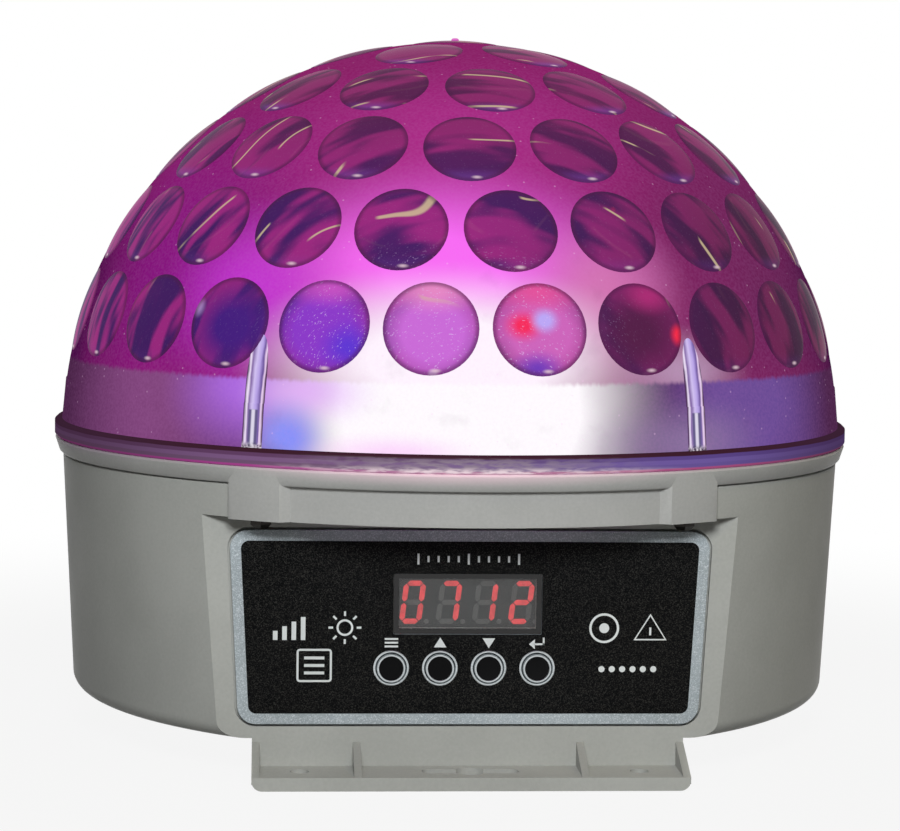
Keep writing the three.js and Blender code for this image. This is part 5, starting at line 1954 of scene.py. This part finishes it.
@dataclass
class ControlPanel:
    """The panel plate with its silver border, its flaked field and its printed signs."""

    top_width: float = 114.5 * MM
    bottom_width: float = 110.6 * MM
    height: float = 46.6 * MM
    corner: float = 4.5 * MM
    foot: float = 13.3 * MM
    face: float = 79.4 * MM
    back: float = 77.8 * MM
    border: float = 2.6 * MM
    proud: float = 0.1 * MM
    print_proud: float = 0.05 * MM
    pane: Triple = (35.5 * MM, 14.6 * MM, 0.4 * MM)
    pane_shift: float = -0.65 * MM
    pane_rise: float = 29 * MM
    button_rise: float = 13.6 * MM
    button_hole: float = 3.7 * MM
    signs_rise: float = 33.0

    def display_middle(self) -> Flat:
        """Returns the middle of the display's pane."""
        return (self.pane_shift, self.foot + self.pane_rise)

    def outline(self, margin: float) -> list[Flat]:
        """Returns the plate's outline grown by a margin, with its lower edge at zero.

        Args:
            margin: The margin, in metres.
        """
        corner = self.corner + margin
        lean = math.degrees(math.atan2((self.top_width - self.bottom_width) / 2, self.height))
        top_x = self.top_width / 2 - self.corner
        foot_x = self.bottom_width / 2 - self.corner
        top_y = self.height - self.corner
        low_y = self.corner
        return [
            *arc((top_x, top_y), corner, -lean, 90, 10),
            *arc((-top_x, top_y), corner, 90, 180 + lean, 10),
            *arc((-foot_x, low_y), corner, 180 + lean, 270, 10),
            *arc((foot_x, low_y), corner, 270, 360 - lean, 10),
        ]

    def holes(self) -> list[Piece]:
        """Returns what the display and the buttons take out of the plate."""
        low, high = self.back - MM, self.face + MM
        pane = rounded(*self.pane, self.display_middle(), 3)
        tools = [prism("pane_hole", pane, Facing.FRONT, low, high)]
        for x in Buttons().places():
            middle = (x, self.foot + self.button_rise)
            tools.append(rod("hole", self.button_hole, Facing.FRONT, middle, low, high, 48))
        return tools

    def build(self) -> None:
        """Makes the plate, its field and its print."""
        lifted = [(x, y + self.foot) for x, y in self.outline(0)]
        plate = prism("panel_plate", lifted, Facing.FRONT, self.back, self.face)
        combine(plate, self.holes(), Operation.CUT)
        soften(plate, 0.3 * MM, 3, 50)
        seat(plate, [PANEL_BORDER], stands_for=["control_panel"])
        inset = [(x, y + self.foot) for x, y in self.outline(-self.border)]
        low, high = self.face - self.proud, self.face + self.proud
        field = prism("panel_field", inset, Facing.FRONT, low, high)
        combine(field, self.holes(), Operation.CUT)
        soften(field, 0.06 * MM, 2, 50)
        seat(field, [PANEL_FIELD])
        self.build_print()

    def stamp(self, outline: Sequence[Flat], middle: Flat) -> Piece:
        """Raises one printed shape on the field, its outline and middle in millimetres.

        Args:
            outline: The shape about its own middle.
            middle: Where its middle lies.

        Returns:
            The raised shape.
        """
        points = [((x + middle[0]) * MM, (y + middle[1]) * MM) for x, y in outline]
        low = self.face + self.proud * 0.6
        high = self.face + self.proud + self.print_proud
        return prism("panel_print", points, Facing.FRONT, low, high)

    def strip(self, start: Flat, end: Flat, width: float, middle: Flat) -> Piece:
        """Prints a straight line between two points.

        Args:
            start: Where the line starts, from the sign's middle.
            end: Where it ends.
            width: Its width.
            middle: The sign's middle.

        Returns:
            The raised line.
        """
        along = Vector((end[0] - start[0], end[1] - start[1])).normalized() * width / 2
        side = Vector((-along.y, along.x))
        a, b = Vector(start), Vector(end)
        return self.stamp([tuple(c) for c in (a - side, b - side, b + side, a + side)], middle)

    def loop(self, outline: Sequence[Flat], width: float, middle: Flat) -> Piece:
        """Prints a closed line of a width along an outline about its own middle.

        Args:
            outline: The outer edge of the line.
            width: The line's width.
            middle: The sign's middle.

        Returns:
            The raised line.
        """
        count = len(outline)
        inner = []
        for i in range(count):
            before, here, after = (Vector(outline[(i + k) % count]) for k in (-1, 0, 1))
            along = (after - before).normalized()
            inner.append(tuple(here + Vector((-along.y, along.x)) * width))
        body = self.stamp(outline, middle)
        points = [((x + middle[0]) * MM, (y + middle[1]) * MM) for x, y in inner]
        tool = prism("inside", points, Facing.FRONT, self.face - MM, self.face + MM)
        return combine(body, [tool], Operation.CUT)

    def build_print(self) -> None:
        """Prints plain signs in millimetres: ticks, arrows, bars and rings, and no words."""
        marks = self.tick_signs() + self.button_signs() + self.left_signs() + self.right_signs()
        seat(fuse(marks), [PRINT])

    def tick_signs(self) -> list[Piece]:
        """Returns a printed row of ticks over the display."""
        marks = []
        for i in range(11):
            tall = 1.5 if i % 5 else 2.6
            x = i * 2.4
            marks.append(self.strip((x, -tall / 2), (x, tall / 2), 0.5, (-12.6, 53.1)))
        return marks

    def button_signs(self) -> list[Piece]:
        """Returns three bars, two arrows and an enter arrow over the buttons."""
        menu, up, down, enter = ((x / MM, self.signs_rise) for x in Buttons().places())
        line = 0.45
        marks = [self.strip((-1.6, y), (1.6, y), line, menu) for y in (-0.9, 0, 0.9)]
        return [
            *marks,
            self.stamp([(-1.5, -1.1), (1.5, -1.1), (0, 1.3)], up),
            self.stamp([(-1.5, 1.1), (0, -1.3), (1.5, 1.1)], down),
            self.stamp([(-2.0, -0.3), (-0.6, -1.5), (-0.6, 0.9)], enter),
            self.strip((-0.8, -0.3), (1.7, -0.3), line, enter),
            self.strip((1.5, -0.5), (1.5, 1.3), line, enter),
        ]

    def left_signs(self) -> list[Piece]:
        """Returns a stair of bars, a sun and a list."""
        stair, sun, page = (-46.4, 33.6), (-29.9, 36.6), (-37.1, 27.5)
        marks = [self.strip((i * 2.2, 0), (i * 2.2, 2.2 + 1.1 * i), 1.1, stair) for i in range(4)]
        marks.append(self.loop(ellipse((0, 0), 2.0, 2.0), 0.5, sun))
        for i in range(8):
            turn = math.tau * i / 8
            x, y = math.cos(turn), math.sin(turn)
            marks.append(self.strip((x * 2.8, y * 2.8), (x * 3.9, y * 3.9), 0.5, sun))
        marks.append(self.loop(rounded(8.4, 8.0, 0.8, steps=3), 0.5, page))
        for y in (-1.8, 0, 1.8):
            marks.append(self.strip((-2.4, y), (2.4, y), 0.7, page))
        return marks

    def right_signs(self) -> list[Piece]:
        """Returns a ring with a dot, a warning triangle and a row of dots."""
        ring, warning = (32.1, 36.6), (43.2, 36.7)
        marks = [
            self.loop(ellipse((0, 0), 3.6, 3.6, 32), 0.55, ring),
            self.stamp(ellipse((0, 0), 1.2, 1.2), ring),
            self.loop([(-4, -3), (4, -3), (0, 3.4)], 0.6, warning),
            self.strip((0, -1.8), (0, 0.1), 0.5, warning),
        ]
        for i in range(6):
            marks.append(self.stamp(ellipse((0, 0), 0.75, 0.75, 16), (31.6 + i * 2.5, 26.7)))
        return marks


@dataclass
class Display:
    """The four-digit display behind its pane."""

    centre: Flat = (-0.65 * MM, 42.3 * MM)
    pitch: float = 8.7 * MM
    digit_width: float = 5.3 * MM
    digit_height: float = 10.4 * MM
    stroke: float = 1.25 * MM
    gap: float = 0.14 * MM
    slant: float = 7.0
    face: float = 76.2 * MM
    raised: float = 0.12 * MM
    sunk: float = 0.3 * MM
    dot_radius: float = 0.6 * MM
    dot_step: float = 0.7 * MM
    shown: str = "0712"

    def bars(self) -> dict[str, tuple[Flat, bool]]:
        """Returns the middle of each bar of a digit, and whether it stands upright."""
        x = (self.digit_width - self.stroke) / 2
        y = (self.digit_height - self.stroke) / 2
        bars = {"a": ((0, y), False), "b": ((x, y / 2), True), "c": ((x, -y / 2), True)}
        bars |= {"d": ((0, -y), False), "e": ((-x, -y / 2), True), "f": ((-x, y / 2), True)}
        return {**bars, "g": ((0, 0), False)}

    def bar(self, middle: Flat, upright: bool) -> list[Flat]:
        """Returns the outline of a bar with pointed ends.

        Args:
            middle: The bar's middle in its digit.
            upright: Whether it stands upright.
        """
        half = self.stroke / 2
        full = (self.digit_height - self.stroke) / 2 if upright else self.digit_width - self.stroke
        reach = full / 2 - self.gap
        points = [
            (-reach, 0), (half - reach, -half), (reach - half, -half),
            (reach, 0), (reach - half, half), (half - reach, half),
        ]
        if upright:
            points = [(y, x) for x, y in reversed(points)]
        lean = math.tan(math.radians(self.slant))
        placed = []
        for x, y in points:
            height = y + middle[1]
            placed.append((x + middle[0] + height * lean, height))
        return placed

    def build(self) -> None:
        """Makes the bars of all digits, lit and unlit, and their decimal points."""
        lit_bars = {"0": "abcdef", "7": "abc", "1": "bc", "2": "abged"}
        groups: dict[bool, list[Piece]] = {True: [], False: []}
        low, high = self.face - self.sunk, self.face + self.raised
        for number, digit in enumerate(self.shown):
            x = self.centre[0] + (number - 1.5) * self.pitch
            for bar, (middle, upright) in self.bars().items():
                lit = bar in lit_bars[digit]
                outline = [(a + x, b + self.centre[1]) for a, b in self.bar(middle, upright)]
                name = "segments_lit" if lit else "segments_dark"
                groups[lit].append(prism(name, outline, Facing.FRONT, low, high))
            dot_x = x + self.digit_width / 2 + self.dot_step
            dot_z = self.centre[1] - self.digit_height / 2 + self.dot_radius
            groups[False].append(
                rod("segments_dark", self.dot_radius, Facing.FRONT, (dot_x, dot_z), low, high, 20)
            )
        seat(fuse(groups[True]), [SEGMENT_LIT])
        seat(fuse(groups[False]), [SEGMENT_DARK])


@dataclass
class Buttons:
    """The four push buttons and the bright rings round their holes."""

    pitch: float = 11.63 * MM
    shift: float = -1.35 * MM
    height: float = 26.9 * MM
    face: float = 80.4 * MM
    plate: float = 79.5 * MM
    cap_radius: float = 3.5 * MM
    face_radius: float = 2.85 * MM
    back: float = 72.6 * MM
    stem_radius: float = 1.45 * MM
    collar: float = 76.2 * MM
    collar_height: float = 0.9 * MM
    collar_radius: float = 4.6 * MM
    ring: Flat = (3.72 * MM, 4.25 * MM)

    def places(self) -> list[float]:
        """Returns how far each button lies to the right of the middle."""
        return [self.shift + (i - 1.5) * self.pitch for i in range(4)]

    def stand(self, piece: Piece, x: float) -> Piece:
        """Turns a body that was spun upright to the front and moves it to its hole.

        Args:
            piece: The body.
            x: How far its hole lies to the right of the middle.

        Returns:
            The same body.
        """
        matrix = Matrix.Translation((x, 0, self.height)) @ Matrix.Rotation(math.pi / 2, 4, "X")
        piece.data.transform(matrix)
        return piece

    def build(self) -> None:
        """Makes each button on its own body, and the rings on the panel."""
        collar, under = self.collar, self.collar - self.collar_height
        face, cap, top = self.face, self.cap_radius, self.face_radius
        profile = [
            (0, self.back),
            (self.stem_radius, self.back),
            (self.stem_radius, under),
            (self.collar_radius, under),
            (self.collar_radius, collar),
            (cap, collar),
            (cap, face - 0.5 * MM),
            (cap - 0.2 * MM, face - 0.12 * MM),
            (top + 0.12 * MM, face - 0.02 * MM),
            (top, face - 0.2 * MM),
            (top * 0.7, face - 0.24 * MM),
            (0, face - 0.3 * MM),
        ]
        bodies = (Body.MENU, Body.UP, Body.DOWN, Body.ENTER)
        pattern = spun("button", profile, 48)
        edge_low, edge_high = collar + 0.1 * MM, top + 0.05 * MM

        def part_of(middle: Vector, normal: Vector) -> int:
            """Returns one for the bright side and edge, and zero for the black face."""
            radius = math.hypot(middle.x, middle.y)
            return int(middle.z > edge_low and radius > edge_high)

        paint_faces(pattern, part_of)
        inner, outer = self.ring
        low, high, crest = (self.plate + part * MM for part in (-0.6, 0.08, 0.2))
        ring_profile = [
            (inner, low),
            (outer, low),
            (outer, high),
            (outer - 0.15 * MM, crest),
            (inner + 0.13 * MM, crest),
            (inner, high),
        ]
        rings = []
        for x, body in zip(self.places(), bodies):
            name = body.value.replace("_button", "")
            button = self.stand(copied(pattern, f"{name}_cap", Matrix.Identity(4)), x)
            marks = [face.material_index for face in button.data.polygons]
            seat(button, [BUTTON_BLACK, BUTTON_EDGE], body, [f"button_{name}"], 35)
            button.data.polygons.foreach_set("material_index", marks)
            rings.append(self.stand(spun("button_rings", ring_profile, 48), x))
        discard(pattern)
        seat(fuse(rings), [BUTTON_EDGE], smooth=35)


@dataclass
class RearPanel:
    """The mains inlet and the two control sockets at the rear."""

    face: float = 79.2 * MM
    height: float = 33 * MM
    corner: float = 2.5 * MM
    outside: float = 90 * MM
    inlet_x: float = 34 * MM
    inlet_flange: Triple = (31 * MM, 25 * MM, 3 * MM)
    inlet_case: Flat = (27.2 * MM, 19.8 * MM)
    inlet_back: float = 60.2 * MM
    well_half: Flat = (12.1 * MM, 8.2 * MM)
    well_cut: float = 4.5 * MM
    well_floor: float = 66.2 * MM
    blade: Triple = (2 * MM, 4 * MM, 0.4 * MM)
    blade_ends: Flat = (64 * MM, 78.2 * MM)
    blade_places: tuple[tuple[int, int], ...] = ((-7, -2), (7, -2), (0, 2))
    socket_xs: Flat = (-6 * MM, -37 * MM)
    socket_flange: Triple = (26 * MM, 31 * MM, 2 * MM)
    barrel_radius: float = 11.6 * MM
    barrel_back: float = 63.2 * MM
    socket_radius: float = 9.4 * MM
    socket_floor: float = 67.2 * MM
    plug_radius: float = 7.6 * MM
    contact_circle: float = 3.95 * MM
    contact_turns: tuple[int, ...] = (210, 330, 90)
    pin_radius: float = 1.15 * MM
    pin_ends: Flat = (66 * MM, 77.2 * MM)
    hole_radius: float = 1.5 * MM
    hole_floor: float = 70 * MM

    def build(self) -> None:
        """Makes the inlet and the sockets."""
        self.build_inlet()
        self.build_socket("dmx_in_body", self.socket_xs[0], "dmx_in_socket", True)
        self.build_socket("dmx_out_body", self.socket_xs[1], "dmx_out_socket", False)

    def flange(self, name: str, size: Triple, middle: Flat) -> Piece:
        """Makes a round-cornered flange on the flat, from its width, height and thickness."""
        outline = rounded(size[0], size[1], self.corner, middle, 8)
        return prism(name, outline, Facing.REAR, self.face, self.face + size[2])

    def build_inlet(self) -> None:
        """Makes the flanged inlet with its well and three blades."""
        x, z = middle = (self.inlet_x, self.height)
        flange = self.flange("inlet_body", self.inlet_flange, middle)
        outline = rounded(*self.inlet_case, self.corner, middle, 6)
        case = prism("case", outline, Facing.REAR, self.inlet_back, self.face + MM)
        combine(flange, [case], Operation.JOIN)
        (wide, high), cut = self.well_half, self.well_cut
        well = [
            (x - wide, z - high), (x + wide, z - high), (x + wide, z + high - cut),
            (x + wide - cut, z + high), (x - wide + cut, z + high), (x - wide, z + high - cut),
        ]
        tool = prism("well", well, Facing.REAR, self.well_floor, self.outside)
        combine(flange, [tool], Operation.CUT)
        soften(flange, 0.35 * MM, 2, 50)
        seat(flange, [BLACK_PLASTIC], stands_for=["power_inlet"])
        pins = []
        for dx, dz in self.blade_places:
            shape = rounded(*self.blade, (x + dx * MM, z + dz * MM), 3)
            pins.append(prism("inlet_blades", shape, Facing.REAR, *self.blade_ends))
        blades = fuse(pins)
        soften(blades, 0.3 * MM, 2, 50)
        seat(blades, [SCREW_STEEL])

    def build_socket(self, name: str, x: float, node: str, pins: bool) -> None:
        """Makes one round control socket.

        Args:
            name: The new piece's name.
            x: How far it lies from the middle in the rear's own plane.
            node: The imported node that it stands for.
            pins: Whether it has pins, or a plug face with contact holes.
        """
        face, far = self.face, self.outside
        middle = (x, self.height)
        body = self.flange(name, self.socket_flange, middle)
        radius, back = self.barrel_radius, self.barrel_back
        barrel = rod("barrel", radius, Facing.REAR, middle, back, face + MM, 64)
        combine(body, [barrel], Operation.JOIN)
        well = rod("well", self.socket_radius, Facing.REAR, middle, self.socket_floor, far, 64)
        combine(body, [well], Operation.CUT)
        start = self.pin_ends[0]
        if not pins:
            plug = rod("plug", self.plug_radius, Facing.REAR, middle, start, face + 1.4 * MM, 56)
            combine(body, [plug], Operation.JOIN)
        radius = self.pin_radius if pins else self.hole_radius
        near, end = self.pin_ends if pins else (self.hole_floor, far)
        contacts = [
            rod("contact", radius, Facing.REAR, place, near, end, 20)
            for place in arc_places(middle, self.contact_circle, self.contact_turns)
        ]
        if not pins:
            combine(body, contacts, Operation.CUT)
        soften(body, 0.3 * MM, 2, 50)
        seat(body, [BLACK_PLASTIC], stands_for=[node])
        if pins:
            pin_set = fuse(contacts)
            pin_set.name = "dmx_in_pins"
            soften(pin_set, 0.4 * MM, 3, 50)
            seat(pin_set, [SCREW_STEEL])


LED_LIGHTS = (
    ("red", (1.0, 0.06, 0.10, 1.0)),
    ("blue", (0.10, 0.12, 1.0, 1.0)),
    ("white", (1.0, 0.85, 1.0, 1.0)),
    ("magenta", (1.0, 0.10, 0.70, 1.0)),
    ("violet", (0.45, 0.10, 1.0, 1.0)),
    ("rose", (1.0, 0.15, 0.35, 1.0)),
)


def dress_packed_nodes() -> None:
    """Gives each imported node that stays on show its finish."""
    finishes: dict[str, Finish] = {
        "display_window": PANE_SMOKE,
        "display_module": DISPLAY_FACE,
        "control_board": BOARD_LACQUER,
        "microphone": ALUMINIUM,
        "chassis_plate": ALUMINIUM,
        "led_board": ALUMINIUM,
        "gear_motor": MOTOR_STEEL,
        "motor_shaft": MOTOR_STEEL,
        "effect_wheel": WHEEL_GLOW,
        "wheel_screw": SCREW_STEEL,
        "power_board": BOARD_LACQUER,
        "power_transformer": COIL_TAPE,
    }
    # The dome screws take the screw steel painted dark as shade.
    screws = {"dome": SCREW_SHADED, "case": SCREW_STEEL, "plate": SCREW_STEEL}
    for corner in ("front_left", "front_right", "rear_left", "rear_right"):
        finishes |= {f"{kind}_screw_{corner}": finish for kind, finish in screws.items()}
    for number in range(1, 5):
        finishes[f"tact_switch_{number}"] = BLACK_PLASTIC
    for number, (name, light) in enumerate(LED_LIGHTS, 1):
        finishes[f"led_{number}"] = LED_CERAMIC
        finishes[f"led_lens_{number}"] = Glowing(
            f"{name}_collimator", Slot.OPTICS, shade(220, 220, 225), 0.2,
            light=light, strength=4.0, scale=300.0,
        )
    for name, finish in finishes.items():
        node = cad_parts[name]
        for holder in node.material_slots:
            holder.link = "OBJECT"
            holder.material = finish.material()
        LOG.info("%s: %s", name, finish.name)


@dataclass
class Stage:
    """The floor, the lights and the camera."""

    centre: Triple = (0.0, 0.0, 0.0772)
    distance: float = 0.711
    azimuth: float = -4.0
    elevation: float = 5.06
    pitch: float = 0.28
    roll: float = 0.78
    lens: float = 106.64
    ambient: float = 0.022

    def build(self) -> None:
        """Sets up everything that isn't part of the object."""
        self.build_floor()
        self.build_world()
        self.build_lights()
        self.build_camera()
        scene = bpy.context.scene
        scene.view_settings.view_transform = "Standard"

    def seen_rays(self, bench: NodeBench, direct: object = 1.0) -> Socket:
        """Returns one for rays that show the background: straight, in gloss or through glass.

        Args:
            bench: The nodes of the floor or the world.
            direct: What a straight ray counts.
        """
        path = bench.add("ShaderNodeLightPath").outputs
        straight = bench.times(path["Is Camera Ray"], direct)
        bent = bench.math("MAXIMUM", path["Is Glossy Ray"], path["Is Transmission Ray"])
        return bench.math("MAXIMUM", straight, bent)

    def build_floor(self) -> None:
        """Makes the pale floor, white to the camera apart from the object's shadow."""
        bpy.ops.object.select_all(action="DESELECT")
        bpy.ops.mesh.primitive_plane_add(size=12.0, location=(0, 0, -0.2 * MM))
        floor = adopt("floor")
        settle(floor)
        material = bpy.data.materials.new("floor_paper")
        bench = NodeBench.fresh(material)
        cloud = bench.noise(bench.place(), 3.0, 2.0)
        tint = bench.mix(cloud, (0.3, 0.3, 0.3, 1.0), (0.35, 0.35, 0.35, 1.0))
        paper = bench.add("ShaderNodeBsdfDiffuse", {"Color": tint})
        white = bench.add("ShaderNodeEmission", {"Color": WHITE, "Strength": 1.0})
        fade = bench.ease(bench.length(bench.place()), 0.15, 0.42, 0.9, 1.0)
        bench.show("Material", bench.blend(self.seen_rays(bench, fade), paper, white))
        floor.data.materials.append(material)

    def build_world(self) -> None:
        """Lights the scene softly from all round, over a white background."""
        world = bpy.data.worlds.new("studio")
        bpy.context.scene.world = world
        bench = NodeBench.fresh(world)
        soft = bench.add("ShaderNodeBackground", {"Color": WHITE, "Strength": self.ambient})
        white = bench.add("ShaderNodeBackground", {"Color": WHITE, "Strength": 1.0})
        bench.show("World", bench.blend(self.seen_rays(bench), soft, white))

    def lamp(
        self, name: str, place: Sequence[float], size: Flat, power: float, colour: Sequence[float]
    ) -> None:
        """Hangs one area light that faces the object.

        Args:
            name: Its name.
            place: Where it hangs, in metres.
            size: Its width and height, in metres.
            power: Its power in watts.
            colour: The colour of its light.
        """
        light = bpy.data.lights.new(name, "AREA")
        light.shape = "RECTANGLE"
        light.size, light.size_y = size
        light.energy = power
        light.color = colour
        holder = bpy.data.objects.new(name, light)
        bpy.context.scene.collection.objects.link(holder)
        holder.location = place
        holder.visible_glossy = False
        aim = Vector(self.centre) - Vector(place)
        holder.rotation_euler = aim.to_track_quat("-Z", "Y").to_euler()

    def build_lights(self) -> None:
        """Hangs a soft light over the camera, narrow warm tubes above and a fill at the rear."""
        cool, warm, tube = (0.98, 1.0, 1.0), (1.0, 0.85, 0.5), (0.9, 0.03)
        self.lamp("soft", (-0.04, -0.55, 0.3), (0.16, 0.12), 2.35, cool)
        self.lamp("tube_near", (0.35, -0.75, 1.15), tube, 1.0, warm)
        self.lamp("tube_far", (0.55, -0.35, 1.05), tube, 0.9, warm)
        self.lamp("rear_fill", (0.05, 0.95, 0.4), (0.5, 0.4), 5.0, WHITE[:3])

    def build_camera(self) -> None:
        """Places the camera where the photograph was taken from."""
        target = Vector(self.centre)
        turn, rise = math.radians(self.azimuth), math.radians(self.elevation)
        back = Vector(
            (math.sin(turn) * math.cos(rise), -math.cos(turn) * math.cos(rise), math.sin(rise))
        )
        place = target + back * self.distance
        right = (-back).cross(Vector((0, 0, 1))).normalized()
        up = right.cross(-back).normalized()
        tilt = math.radians(self.pitch)
        ahead = (-back * math.cos(tilt) + up * math.sin(tilt)).normalized()
        up = right.cross(ahead).normalized()
        spin = math.radians(self.roll)
        side = right * math.cos(spin) + up * math.sin(spin)
        up = side.cross(ahead).normalized()
        camera = bpy.data.cameras.new("camera")
        camera.lens = self.lens
        camera.sensor_width = 36.0
        camera.clip_start = 0.01
        camera.dof.use_dof = False
        holder = bpy.data.objects.new("camera", camera)
        bpy.context.scene.collection.objects.link(holder)
        rows = [(side[i], up[i], -ahead[i], place[i]) for i in range(3)]
        holder.matrix_world = Matrix((*rows, (0, 0, 0, 1)))
        bpy.context.scene.camera = holder


def main() -> None:
    """Builds the sub-assemblies in order and dresses what stays."""
    logging.basicConfig(level=logging.INFO, format="%(name)s %(message)s")
    Stage().build()
    shells = (LensDome(), BezelRing(), BaseShell())
    fittings = (ControlPanel(), Display(), Buttons(), RearPanel())
    for assembly in (*shells, *fittings):
        LOG.info("building %s", type(assembly).__name__)
        assembly.build()
    dress_packed_nodes()


if __name__ == "__main__":
    main()
